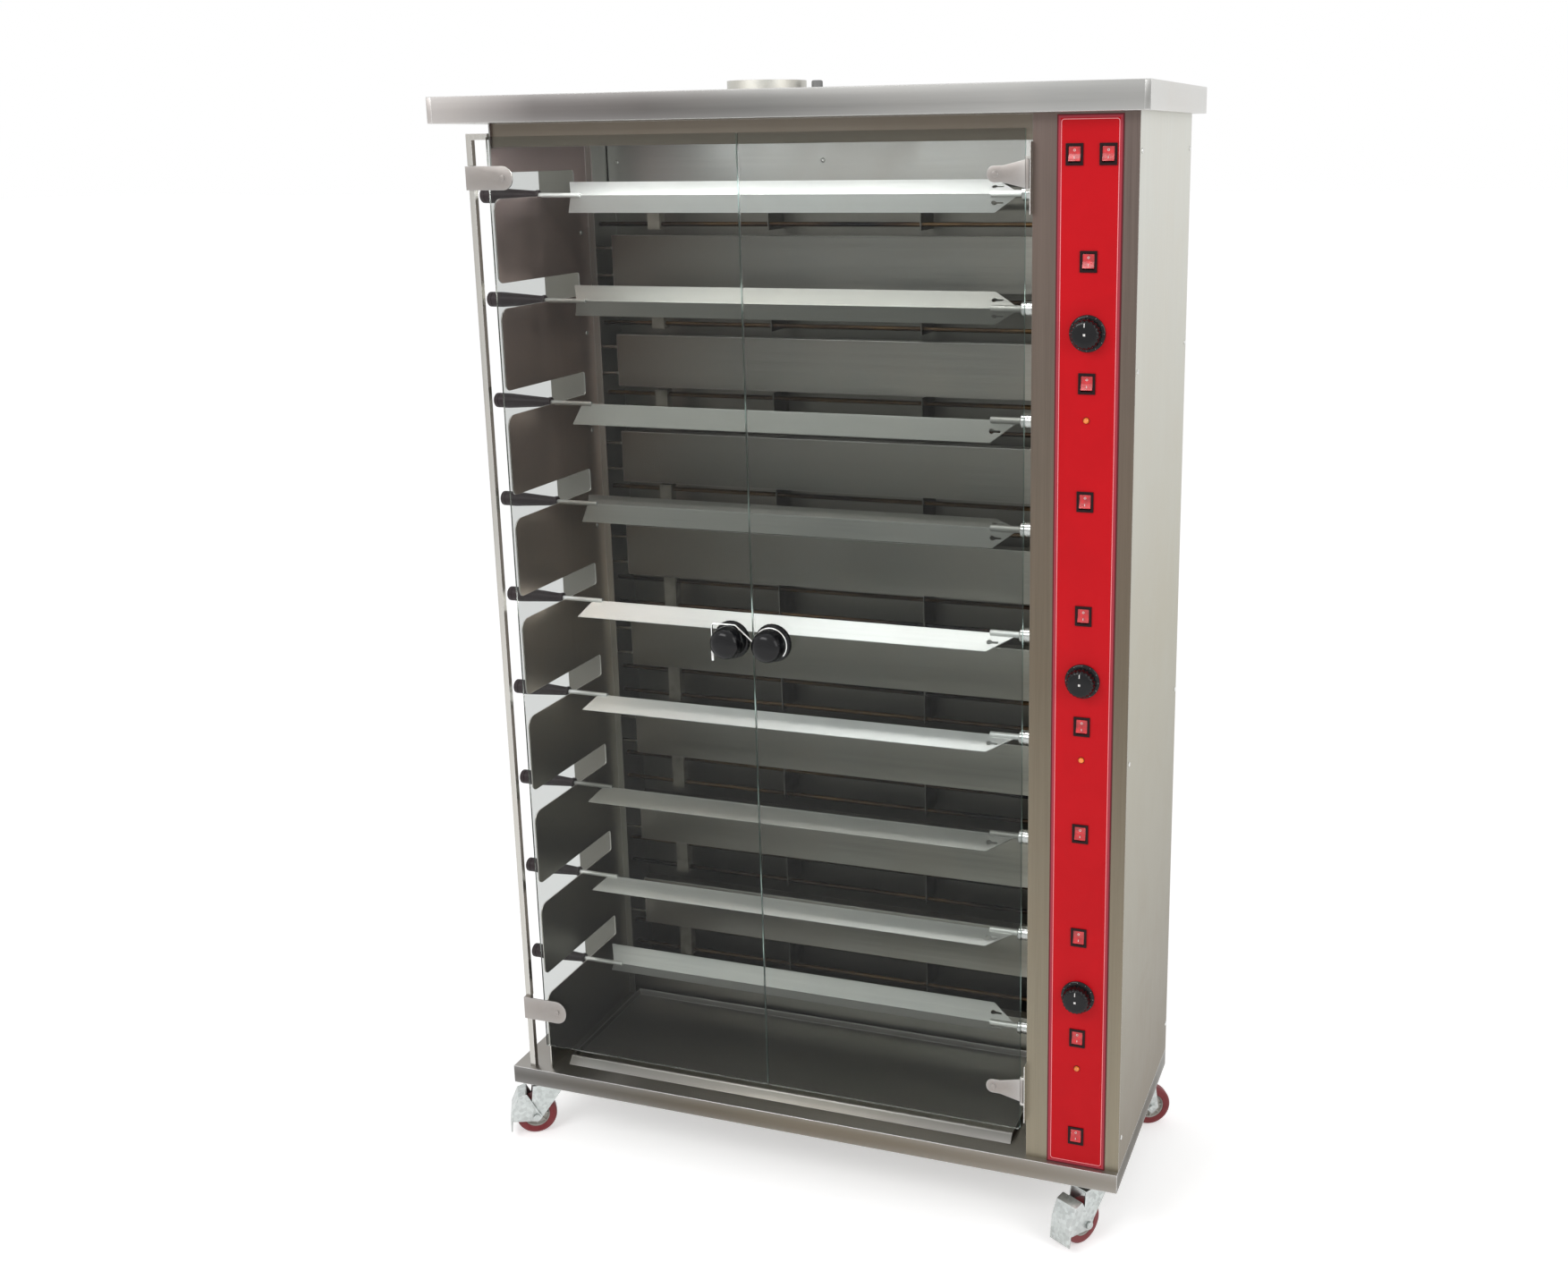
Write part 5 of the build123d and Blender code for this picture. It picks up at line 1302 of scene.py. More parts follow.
    def _line(self) -> Rule:
        """Returns the rule of a printed line that follows a rectangle with rounded corners."""
        rule = Rule(
            "line_round_plate",
            [
                ("Width", "Float", 0.08), ("Height", "Float", 1.6), ("Corner", "Float", 0.004),
                ("Line", "Float", 0.0008),
            ],
        )
        w, given = rule.wiring, rule.given
        size = {"Width": given["Width"], "Height": given["Height"]}
        path = w.add("GeometryNodeCurvePrimitiveQuadrilateral", size)
        rounded = w.add("GeometryNodeFilletCurve", {0: path.outputs[0], "Radius": given["Corner"]})
        if "Mode" in rounded.inputs:
            rounded.inputs["Mode"].default_value = "Poly"
        else:
            rounded.mode = "POLY"
        rounded.inputs["Count"].default_value = 6
        section = w.add("GeometryNodeCurvePrimitiveCircle", {"Resolution": 8, "Radius": given["Line"]})
        solid = w.add("GeometryNodeCurveToMesh", {0: rounded.outputs[0], 1: section.outputs[0]})
        rule.close(solid.outputs[0])
        return rule


def screw_head(name: str, radius: float, height: float, slots: int) -> bpy.types.Object:
    """Makes the part of a screw head that the rules set on points, its seat at the origin.

    Args:
        name: Name of the part.
        radius: Radius of the head in millimetres.
        height: Height of the head in millimetres.
        slots: Arms of the recess: 4 for a cross, 6 for a socket.

    Returns:
        The part, not in the scene.
    """
    form = Form()
    form.turned(
        [
            (0, 0), (0, radius * 0.96), (height * 0.15, radius), (height * 0.45, radius),
            (height * 0.8, radius * 0.82), (height * 0.97, radius * 0.55), (height, radius * 0.34),
            (height * 0.98, radius * 0.3), (height * 0.45, radius * 0.26), (height * 0.42, 0),
        ],
        Matrix.Identity(4),
        steps=36,
        flutes=slots,
        flute_depth=radius * 0.12,
        fluted=(height * 0.42, height * 0.985),
    )
    mesh = mesh_of(form.bm, name)
    mesh.polygons.foreach_set("use_smooth", [True] * len(mesh.polygons))
    mesh.set_sharp_from_angle(angle=math.radians(35))
    return bpy.data.objects.new(name, mesh)


def hex_nut(name: str, across: float, height: float, bore: float) -> bpy.types.Object:
    """Makes a nut with chamfered corners and the end of its bolt, seat at the origin.

    Args:
        name: Name of the part.
        across: Size across the flats in millimetres.
        height: Height in millimetres.
        bore: Diameter of the bolt in millimetres.

    Returns:
        The part, not in the scene.
    """
    form = Form()
    reach = across / 2 / math.cos(math.radians(30))
    turns = [math.radians(a) for a in range(0, 360, 60)]
    corners = [(reach * math.cos(turn), reach * math.sin(turn)) for turn in turns]
    form.prism(corners, height, Matrix.Identity(4), 0, across * 0.05)
    form.turned(
        [
            (height * 0.9, 0), (height * 0.9, bore / 2), (height - 0.1, bore / 2), (height, bore * 0.4),
            (height, 0),
        ],
        Matrix.Identity(4),
        steps=20,
    )
    return bpy.data.objects.new(name, mesh_of(form.bm, name))


def drop_part(part: bpy.types.Object) -> None:
    """Removes an object that isn't a piece, with its mesh."""
    mesh = part.data
    bpy.data.objects.remove(part)
    bpy.data.meshes.remove(mesh)


@dataclass
class Cabinet:
    """The sheet metal: pan, walls, canopy, column and what is fixed to them."""

    rules: Rules
    side_x: float = 577.5 * MM
    side_screw_depths: tuple[float, ...] = (-183.0 * MM, 213.0 * MM)
    side_screw_levels: tuple[float, ...] = (200.0 * MM, 849.0 * MM, 1458.0 * MM, 1773.0 * MM)
    comb_inner_x: float = -480.5 * MM
    comb_screw_depth: float = 88.0 * MM
    comb_screw_rise: float = 107.95 * MM
    panel_screws: tuple[float, ...] = (-462.5 * MM, -59.5 * MM, 343.5 * MM)
    panel_screw_depth: float = 201.0 * MM
    panel_screw_level: float = 1761.0 * MM
    bolt_offset: float = 22.5
    bolt_levels: tuple[float, float] = (107.0, 112.0)
    vent_centre: tuple[float, float] = (-64.5, -27.0)
    guard_level: float = 1883.8
    canopy_ends: tuple[float, float] = (-572.5, 597.5)
    lap: float = 9.5
    lap_depths: tuple[float, float] = (-227.25, -226.5)
    lap_levels: tuple[float, float] = (1829.2, 1868.8)

    def dress_sheets(self) -> None:
        """Gives the carried nodes their finishes."""
        carried = {
            "left_comb_wall": FINISH.comb,
            "rear_housing": FINISH.rear,
            "reflector_panels": FINISH.reflector,
            "heating_elements": FINISH.heater,
            "top_panel": FINISH.upper,
            "column_shell": FINISH.column,
            "right_side_panel": FINISH.side,
            "control_plate": FINISH.plate,
            "switch_housings": FINISH.bezel,
            "gear_motors": FINISH.motor,
            "door_hinge_posts": FINISH.post,
            "roof_vent": FINISH.vent,
            "cable_gland": FINISH.grey,
            "interior_lamp": FINISH.tube,
            "fan_rotor": FINISH.motor,
        }
        for node, finish in carried.items():
            dress(node, finish)

    def fold_sheets(self) -> None:
        """Builds the canopy and the pan with rolled edges, and the canopy's corner laps."""
        softened("canopy", "canopy_lid", "cabinet", FINISH.canopy, 1.0, weld=True)
        softened("base_frame", "base_pan", "cabinet", FINISH.base, 0.8, weld=True)
        form = Form()
        for x in self.canopy_ends:
            spans = sorted((x, x - math.copysign(self.lap, x))), self.lap_depths, self.lap_levels
            form.box(*zip(*spans), 0, 0.2)
        form.finish("canopy_corner_laps", "cabinet", [FINISH.canopy], slot="brushed_steel")

    def drive_screws(self) -> None:
        """Sets every screw and caster bolt with a rule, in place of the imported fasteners."""
        pan = screw_head("pan_head", 4.0, 2.0, 4)
        facing = {
            "side": (
                Axis.X,
                [(self.side_x, y, z) for y in self.side_screw_depths for z in self.side_screw_levels],
            ),
            "comb": (
                Axis.X,
                [
                    (self.comb_inner_x, self.comb_screw_depth, z + self.comb_screw_rise)
                    for z in SPIT_LEVELS[1:]
                ],
            ),
            "rear": (
                Axis.BACK_Y,
                [(x, self.panel_screw_depth, self.panel_screw_level) for x in self.panel_screws],
            ),
        }
        for number, (name, (axis, points)) in enumerate(facing.items()):
            self.rules.set_parts(
                f"{name}_screws", "cabinet", FINISH.screw, points, pan, axis, number + 1,
                replaces=["fasteners"], slot="bright_steel",
            )
        nut = hex_nut("caster_nut", 10.0, 4.0, 6.0)
        spread = (-self.bolt_offset, self.bolt_offset)
        bolts = [(x + i, y + j) for x, y, _ in CASTERS.values() for i in spread for j in spread]
        for name, level, axis in zip(("under", "inside"), self.bolt_levels, (Axis.BACK_Z, Axis.Z)):
            self.rules.set_parts(
                f"caster_bolts_{name}", "cabinet", FINISH.zinc,
                [(x * MM, y * MM, level * MM) for x, y in bolts], nut, axis, 9, slot="zinc",
            )
        drop_part(pan)
        drop_part(nut)

    def guard_vent(self) -> None:
        """Builds the wire rings over the roof vent."""
        x, y = self.vent_centre
        self.rules.guard.run(
            "vent_guard", "cabinet", FINISH.handle, place=placed(x * MM, y * MM, self.guard_level * MM),
            slot="bright_steel", Rings=5, Inner_Radius=25 * MM, Outer_Radius=49 * MM, Wire=0.9 * MM,
        )

    def build(self) -> None:
        """Builds and dresses the cabinet."""
        self.dress_sheets()
        self.fold_sheets()
        self.drive_screws()
        self.guard_vent()


def dress(node: str, finish: Finish) -> None:
    """Gives a carried node a finish."""
    node_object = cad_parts[node]
    if not node_object.material_slots:
        node_object.data.materials.append(None)
    for slot in node_object.material_slots:
        slot.link = "OBJECT"
        slot.material = finish.material()
    log.info("%s carried with %s", node, finish.name)


@dataclass
class ControlColumn:
    """Printed plate, rockers, thermostat knobs and indicator lamps."""

    rules: Rules
    centre_x: float = COLUMN_MIDDLE / MM
    pivot_y: float = -195.5
    rocker_width: float = 17.4
    rocker_half: float = 10.4
    ridge: float = 5.2
    valley: float = 3.6
    back: float = 3.5
    tilt: float = -9.0
    mark_rise: float = 5.2
    mark_depth: float = -4.46
    pin_reach: float = 10.55
    dial_foot: float = -199.0
    dial_mark_depth: float = -221.42
    service_x: tuple[float, float] = (483.2, 532.6)
    service_z: float = 1769.0
    rocker_drop: float = 92.4
    dial_levels: tuple[float, ...] = (1514.0, 981.8, 449.6)
    lamp_levels: tuple[float, ...] = (1385.6, 853.4, 321.2)

    def rocker_places(self) -> dict[str, tuple[float, float]]:
        """Returns the place of each rocker by its body's name."""
        places = {
            f"rocker_{i + 1}": (self.centre_x, z / MM - self.rocker_drop) for i, z in enumerate(SPIT_LEVELS)
        }
        places["rocker_light"] = (self.service_x[0], self.service_z)
        places["rocker_fan"] = (self.service_x[1], self.service_z)
        return places

    def build_rocker(self, body: str, x: float, z: float) -> None:
        """Builds one rocker with a hollow face, its two marks and its pivot.

        Args:
            body: Name of its body.
            x: Place of its middle along X in millimetres.
            z: Place of its middle along Z in millimetres.
        """
        face = []
        for i in range(17):
            share = i / 8 - 1
            rise = self.valley + (self.ridge - self.valley) * abs(share) ** 1.3
            face.append((-rise, -share * self.rocker_half))
        outline = [*face, (self.back, -(self.rocker_half - 0.8)), (self.back, self.rocker_half - 0.8)]
        turn = Matrix.Rotation(math.radians(self.tilt), 4, "X")
        middle = Matrix.Translation(Vector((x, self.pivot_y, z)) * MM) @ turn
        across = Matrix(((0, 0, 1, 0), (1, 0, 0, 0), (0, 1, 0, 0), (0, 0, 0, 1)))
        side = Matrix.Translation((-self.rocker_width / 2 * MM, 0, 0))
        form = Form()
        form.prism(outline, self.rocker_width, middle @ side @ across, 0, 0.45)
        bar = middle @ Matrix.Translation(Vector((0, self.mark_depth, -self.mark_rise)) * MM)
        form.add_mesh(mark_mesh(0.9, 3.4, 0.3), bar, 1)
        ring = middle @ placed(0, self.mark_depth * MM, self.mark_rise * MM, Axis.BACK_Y)
        form.turned([(-0.3, 1.1), (0.3, 1.1), (0.3, 1.75), (-0.3, 1.75), (-0.3, 1.1)], ring, 1, 24)
        pin = middle @ placed(-self.pin_reach * MM, 0, 0, Axis.X)
        form.turned([(0, 0), (0, 1.3), (0.2, 1.5), (20.9, 1.5), (21.1, 1.3), (21.1, 0)], pin, 0, 16)
        form.finish(f"{body}_paddle", body, [FINISH.rocker, FINISH.paint], [body], "red_rocker", 40)

    def build_dial(self, number: int, z: float) -> None:
        """Builds one thermostat knob: skirt, fluted grip, domed cap, shaft and white marks.

        Args:
            number: Number of the knob from the top.
            z: Place of its axis along Z in millimetres.
        """
        body = f"thermostat_knob_{number}"
        base = placed(self.centre_x * MM, self.dial_foot * MM, z * MM, Axis.BACK_Y)
        form = Form()
        form.turned(
            [
                (0, 0), (0, 26.6), (0.6, 27.3), (1.6, 27.3), (2.6, 26.4), (3.4, 24.6), (3.5, 23.4),
                (4.2, 22.9), (6.0, 22.8), (10.0, 22.6), (15.0, 22.3), (17.4, 21.8), (19.4, 20.6),
                (20.9, 18.6), (21.8, 15.6), (22.2, 11.0), (22.35, 5.0), (22.4, 0),
            ],
            base, 0, 120, 20, 1.4, (3.45, 20.0),
        )
        shaft = placed(self.centre_x * MM, (self.dial_foot - 0.2) * MM, z * MM, Axis.Y)
        form.turned([(0, 0), (0, 3.0), (21.8, 3.0), (22.2, 2.6), (22.2, 0)], shaft, 1, 20)
        pointer = Matrix.Translation(Vector((self.centre_x, self.dial_mark_depth + 0.06, z + 14.0)) * MM)
        form.add_mesh(mark_mesh(1.4, 6.0, 0.24), pointer @ Matrix.Rotation(math.radians(-10), 4, "X"), 2)
        centre = Matrix.Translation(Vector((self.centre_x, self.dial_mark_depth, z)) * MM)
        form.add_mesh(mark_mesh(3.4, 3.4, 0.2), centre, 2)
        form.finish(body, body, [FINISH.gloss, FINISH.chrome, FINISH.paint], [body], "black_plastic", 40)
        self.rules.spokes.run(
            f"{body}_marks", body, FINISH.paint, place=base, slot="black_plastic",
            Count=12, Ring_Radius=25.1 * MM, Size=(1.5 * MM, 0.5 * MM, 0.24 * MM), Level=3.12 * MM,
        )

    def build_lamps(self) -> None:
        """Builds the indicator lamps with a rule: a dark rim and a stepped amber cap on each point."""
        points = [(self.centre_x * MM, PLATE_FRONT, z * MM) for z in self.lamp_levels]
        rim, cap = Form(), Form()
        rim.turned(
            [(0, 4.3), (0, 5.0), (0.7, 5.0), (1.0, 4.7), (1.0, 4.35), (0.4, 4.3), (0, 4.3)],
            Matrix.Identity(4), steps=40,
        )
        cap.turned(
            [
                (-18, 0), (-18, 4.2), (0, 4.3), (1.0, 4.4), (2.0, 4.3), (3.2, 3.8), (4.2, 3.0), (5.0, 1.9),
                (5.4, 0.9), (5.5, 0),
            ],
            Matrix.Identity(4), steps=40,
        )
        for name, form, finish, nodes in (
            ("lamp_rims", rim, FINISH.bezel, ()), ("lamp_caps", cap, FINISH.amber, ("indicator_lamps",)),
        ):
            part = bpy.data.objects.new(f"{name}_part", mesh_of(form.bm, name))
            self.rules.set_parts(
                name, "cabinet", finish, points, part, Axis.BACK_Y, 2, replaces=nodes, slot="amber"
            )
            drop_part(part)

    def print_line(self) -> None:
        """Lays the printed line round the control plate."""
        place = placed(COLUMN_MIDDLE, PLATE_FRONT + 0.35 * MM, PLATE_MIDDLE, Axis.BACK_Y)
        self.rules.line.run(
            "plate_line", "cabinet", FINISH.trim, place=place, slot="red_plate",
            Width=84.4 * MM, Height=1668.0 * MM, Corner=4.0 * MM, Line=0.7 * MM,
        )

    def build(self) -> None:
        """Builds the column's controls."""
        for body, (x, z) in self.rocker_places().items():
            self.build_rocker(body, x, z)
        for number, z in enumerate(self.dial_levels, 1):
            self.build_dial(number, z)
        self.build_lamps()
        self.print_line()


def mark_mesh(width: float, height: float, depth: float) -> bpy.types.Mesh:
    """Returns a thin raised mark in the XZ plane, its middle at the origin.

    Args:
        width: Size along X in millimetres.
        height: Size along Z in millimetres.
        depth: Thickness along Y in millimetres.

    Returns:
        The mesh.
    """
    form = Form()
    form.box(
        (-width / 2, -depth / 2, -height / 2), (width / 2, depth / 2, height / 2), 0, min(depth, width) * 0.3
    )
    return mesh_of(form.bm, "mark")


@dataclass
class SpitSet:
    """Nine spits: turned handle, rod, folded bar with key holes, drive pin and socket."""

    handle_left: float = -597.5
    handle_right: float = -486.0
    bar_left: float = -443.5
    bar_right: float = 361.5
    bar_flange: float = 37.0
    bar_sheet: float = 2.0
    end_slant: float = 18.0
    tip_slant: float = 48.0
    bar_lip: float = 0.2
    key_x: float = 315.5
    key_radius: float = 4.5
    slot_end: float = 330.5
    slot_half: float = 2.0
    socket_left: float = 364.7
    socket_right: float = 420.7
    shaft_end: float = 458.5
    # spits painted lit, mid lit and shaded: each gets a brighter or darker copy of one steel
    bright: tuple[int, ...] = (1, 5, 6)
    satin: tuple[int, ...] = (8, 9)

    def steel(self, number: int) -> Steel:
        """Returns the finish of a spit: lit and shaded copies of one steel, painted brighter or darker spit
        by spit for the light each catches.
        """
        if number in self.bright:
            return FINISH.spit_lit
        return FINISH.spit_mid_lit if number in self.satin else FINISH.spit_shaded

    def flange(self) -> bpy.types.Mesh:
        """Returns one flange with its key hole, flat in XY, from a filled curve."""
        curve = bpy.data.curves.new("flange", "CURVE")
        curve.dimensions, curve.fill_mode = "2D", "BOTH"
        lip = self.bar_lip * MM
        curve.extrude = self.bar_sheet / 2 * MM - lip
        curve.bevel_depth, curve.bevel_resolution, curve.offset = lip, 2, -lip
        outer = [
            (self.bar_left + self.end_slant, 0.0), (self.bar_right, 0.0),
            (self.bar_right - self.tip_slant, self.bar_flange), (self.bar_left, self.bar_flange),
        ]
        start = math.asin(self.slot_half / self.key_radius)
        middle = self.bar_flange / 2
        hole = []
        for i in range(25):
            turn = start + (2 * math.pi - 2 * start) * i / 24
            across, up = self.key_radius * math.cos(turn), self.key_radius * math.sin(turn)
            hole.append((self.key_x + across, middle + up))
        hole += [(self.slot_end, middle - self.slot_half), (self.slot_end, middle + self.slot_half)]
        for loop in (outer, hole):
            spline = curve.splines.new("POLY")
            spline.points.add(len(loop) - 1)
            for point, (x, y) in zip(spline.points, loop):
                point.co = (x * MM, y * MM, 0, 1)
            spline.use_cyclic_u = True
        return evaluated(linked("flange", curve))

    def build_spit(self, number: int, level: float, rest_angle: float, flange: bpy.types.Mesh) -> None:
        """Builds one spit.

        Args:
            number: Number of the spit from the top.
            level: Height of its axis in metres.
            rest_angle: Its turn at rest in degrees.
            flange: The flange's mesh.
        """
        turn = Matrix.Rotation(math.radians(rest_angle), 4, "X")
        place = Matrix.Translation((0, SPIT_DEPTH, level)) @ turn
        form = Form()
        for side in (1, -1):
            lean = Matrix.Rotation(math.radians(45 * side), 4, "X")
            sink = Matrix.Translation((0, 0, -side * self.bar_sheet / 2 * MM))
            form.add_mesh(flange.copy(), place @ lean @ sink, 0)

        def at(x: float) -> Matrix:
            """Returns the place on the spit's axis at a distance along X."""
            return place @ placed(x * MM, 0, 0, Axis.X)

        rod_end = self.bar_left + 2 * self.end_slant
        rod_length = rod_end - self.handle_right
        form.turned(
            [(0, 0), (0, 4.0), (rod_length - 0.6, 4.0), (rod_length, 3.4), (rod_length, 0)],
            at(self.handle_right), 0, 28,
        )
        pin_left = self.bar_right - self.tip_slant
        pin_length = self.socket_left + 1 - pin_left
        form.turned([(0, 0), (0, 4.7), (0.8, 5.5), (pin_length, 5.5), (pin_length, 0)], at(pin_left), 0, 32)
        length = self.handle_right - self.handle_left
        form.turned(
            [
                (0, 0), (0.0, 9.0), (0.5, 11.2), (1.8, 12.6), (3.4, 13.0), (9.2, 13.0), (9.6, 12.3),
                (10.6, 12.3), (11.0, 13.0), (27.9, 13.0), (length - 5.4, 7.6), (length - 5.0, 7.5),
                (length - 4.8, 8.6), (length - 4.2, 9.0), (length - 0.7, 9.0), (length, 8.3), (length, 0),
            ],
            at(self.handle_left), 1, 48,
        )
        reach = self.socket_right - self.socket_left
        shaft = self.shaft_end - self.socket_left
        form.turned(
            [
                (0, 0), (0, 9.6), (0.5, 11.2), (1.6, 12.0), (7.5, 12.0), (7.9, 11.5), (9.3, 11.5),
                (9.7, 12.0), (reach - 9.7, 12.0), (reach - 9.3, 11.5), (reach - 7.9, 11.5),
                (reach - 7.5, 12.0), (reach - 1.0, 12.0), (reach, 11.2), (reach, 6.0), (shaft - 0.5, 6.0),
                (shaft, 5.5), (shaft, 0),
            ],
            at(self.socket_left), 2, 48,
        )
        body = f"spit_{number}"
        finishes = [self.steel(number), FINISH.handle, FINISH.chrome]
        form.finish(f"{body}_assembly", body, finishes, [body], "bright_steel")

    def build(self) -> None:
        """Builds the nine spits."""
        flange = self.flange()
        for number, (level, rest_angle) in enumerate(zip(SPIT_LEVELS, SPIT_REST_ANGLES), 1):
            self.build_spit(number, level, rest_angle, flange)
        bpy.data.meshes.remove(flange)


@dataclass
class Doors:
    """Glass panes, brackets with bolts, knobs and the wire latch."""

    rules: Rules
    left_bolts: tuple[tuple[float, float], ...] = ((-454.5, 1742.0), (-454.5, 265.0))
    right_bolts: tuple[tuple[float, float], ...] = ((366.5, 1742.5), (366.5, 268.0))
    loop_radius: float = 27.18
    loop_end: float = -40.0
    loop_start: float = 186.0
    wire: float = 1.6
    latch_y: float = -215.0
    rest_height: float = 27.4
    tail_x: float = -110.4
    tail_low: float = 966.0
    tip_length: float = 17.0
    corner: float = 4.0

    def build_brackets(self) -> None:
        """Builds the brackets with rolled edges and sets their domed bolts and nuts."""
        dome = screw_head("dome_bolt", 4.5, 2.5, 6)
        nut = hex_nut("bracket_nut", 12.0, 4.0, 6.0)
        for body, places in (("left_door", self.left_bolts), ("right_door", self.right_bolts)):
            spots = [Vector((x * MM, 0, z * MM)) for x, z in places]

            def is_bolt(middle: Vector, spots: list[Vector] = spots) -> bool:
                """Tells whether an island lies on a bolt's axis."""
                flat = Vector((middle.x, 0, middle.z))
                return min((flat - spot).length for spot in spots) < BOLT_NEAR

            softened(
                f"{body}_brackets", f"{body}_bracket_plates", body, FINISH.bracket, 0.4,
                is_bolt,
            )
            for part, y, axis, finish in (
                (dome, BRACKET_FRONT, Axis.BACK_Y, FINISH.chrome), (nut, GLASS_BACK, Axis.Y, FINISH.screw),
            ):
                self.rules.set_parts(
                    f"{body}_{part.name}s", body, finish, [(x * MM, y, z * MM) for x, z in places],
                    part, axis, 5, slot="bright_steel",
                )
        drop_part(dome)
        drop_part(nut)

    def build_knob(self, body: str, x: float) -> None:
        """Builds one door knob: ribbed rosette, waist, domed cap and the nut behind the glass.

        Args:
            body: Name of the door's body.
            x: Place of its axis along X in metres.
        """
        form = Form()
        form.turned(
            [
                (0, 0), (0, 31.4), (0.5, 32.0), (2.0, 32.0), (5.6, 31.6), (7.2, 30.6), (8.0, 28.6),
                (8.0, 25.6), (16.0, 25.5), (16.2, 26.2), (17.2, 27.0), (20.0, 27.2), (26.0, 27.0),
                (31.5, 26.2), (36.0, 24.4), (39.6, 21.4), (42.0, 17.2), (43.4, 12.0), (43.9, 6.0), (44.0, 0),
            ],
            placed(x, GLASS_FRONT, KNOB_LEVEL, Axis.BACK_Y), 0, 128, 32, 0.7, (0.3, 7.4),
        )
        form.turned(
            [(-0.2, 0), (-0.2, 3.0), (5.0, 3.0), (5.0, 6.4), (5.6, 7.0), (8.4, 7.0), (9.0, 6.2), (9.0, 0)],
            placed(x, GLASS_FRONT, KNOB_LEVEL, Axis.Y), 1, 40,
        )
        finishes = [FINISH.gloss, FINISH.screw]
        form.finish(f"{body}_knob_turned", body, finishes, [f"{body}_knob"], "black_plastic")

    def latch_path(self) -> list[Vector]:
        """Returns the middle line of the latch's wire, from the loop's open end to the tail."""
        x0, z0 = KNOB_CENTRES["right_door"] / MM, KNOB_LEVEL / MM
        points = []
        for i in range(41):
            turn = math.radians(self.loop_end + (self.loop_start - self.loop_end) * i / 40)
            points.append((x0 + self.loop_radius * math.cos(turn), z0 + self.loop_radius * math.sin(turn)))
        left = KNOB_CENTRES["left_door"] / MM
        top = z0 + self.rest_height
        low = self.tail_low + self.tip_length
        bends = [(left + self.rest_height * 0.38, top), (self.tail_x, top), (self.tail_x, low)]
        points += rounded_path([points[-1], *bends], self.corner)[1:]
        return [Vector((x * MM, self.latch_y * MM, z * MM)) for x, z in points]

    def build_latch(self) -> None:
        """Builds the wire latch with its thicker tip."""
        form = Form()
        form.tube(self.latch_path(), self.wire * MM, 0, 16)
        form.turned(
            [(0, 0), (0, 1.8), (0.6, 2.4), (16.2, 2.5), (16.8, 2.2), (17.0, 1.6), (17.0, 0)],
            placed(self.tail_x * MM, self.latch_y * MM, self.tail_low * MM), 0, 24,
        )
        form.finish("latch_wire", "latch", [FINISH.wire], ["door_latch"], "bright_steel")

    def build(self) -> None:
        """Builds both doors and the latch."""
        for body, x in KNOB_CENTRES.items():
            dress(f"{body}_glass", FINISH.glass)
            self.build_knob(body, x)
        self.build_brackets()
        self.build_latch()


def rounded_path(corners: Sequence[tuple[float, float]], radius: float) -> list[tuple[float, float]]:
    """Returns a flat path through corners that are rounded with arcs.

    Args:
        corners: Corners in order.
        radius: Radius of each bend.

    Returns:
        Points along the path.
    """
    points = [corners[0]]
    for before, at, after in zip(corners[:-2], corners[1:-1], corners[2:]):
        b, c, a = Vector(before), Vector(at), Vector(after)
        back, on = (b - c).normalized(), (a - c).normalized()
        half = back.angle(on) / 2
        cut = radius / math.tan(half)
        centre = c + (back + on).normalized() * (radius / math.sin(half))
        first, last = c + back * cut - centre, c + on * cut - centre
        sweep = first.angle_signed(last)
        for i in range(9):
            turned = first.copy()
            turned.rotate(Matrix.Rotation(-sweep * i / 8, 2))
            points.append(tuple(centre + turned))
    points.append(corners[-1])
    return points


@dataclass
class Casters:
    """Four swivel casters: forks, wheels, and pedals on the front pair."""

    rules: Rules
    braked: tuple[str, ...] = ("fl", "fr")
    trail: float = 30.0
    axle_z: float = 37.5

    def axle_place(self, corner: str) -> Matrix:
        """Returns the place of a wheel's middle, with its axle along local Z."""
        x, y, turn = CASTERS[corner]
        swivel = placed(x * MM, y * MM, 0) @ Matrix.Rotation(math.radians(turn), 4, "Z")
        return swivel @ placed(self.trail * MM, 0, self.axle_z * MM, Axis.Y)

    def build_wheel(self, corner: str) -> None:
        """Builds one wheel: rounded tread, dished web, bearing boss and stiffening ribs."""
        place = self.axle_place(corner)
        form = Form()
        half = [
            (11.2, 23.4), (11.9, 24.4), (12.0, 30.0), (11.8, 33.0), (11.0, 35.4), (9.4, 36.8), (7.0, 37.4),
            (3.0, 37.5),
        ]
        tread = [(-h, r) for h, r in half] + [(h, r) for h, r in reversed(half)]
        form.turned([*tread, tread[0]], place, 0, 72)
        web = [
            (-11.0, 23.5), (-10.0, 22.2), (-5.0, 21.0), (-5.0, 10.6), (-6.0, 9.2), (-14.8, 9.0),
            (-15.2, 8.6), (-15.2, 4.2),
        ]
        form.turned([*web, *[(-h, r) for h, r in reversed(web)], web[0]], place, 1, 60)
        name = f"caster_wheel_{corner}"
        form.finish(f"{name}_turned", f"wheel_{corner}", [FINISH.tread, FINISH.hub], [name], "red_tread")
        self.rules.spokes.run(
            f"{name}_ribs", f"wheel_{corner}", FINISH.hub, place=place, slot="red_tread",
            Count=8, Ring_Radius=15.6 * MM, Size=(12.4 * MM, 2.0 * MM, 17.0 * MM), Level=0.0,
        )

    def build(self) -> None:
        """Builds the casters."""
        for corner in CASTERS:
            fork, pedal = f"caster_fork_{corner}", f"brake_pedal_{corner}"
            softened(fork, f"{fork}_pressed", f"caster_{corner}", FINISH.zinc, 0.5)
            self.build_wheel(corner)
            if corner in self.braked:
                softened(pedal, f"{pedal}_pressed", f"brake_{corner}", FINISH.zinc, 0.5)


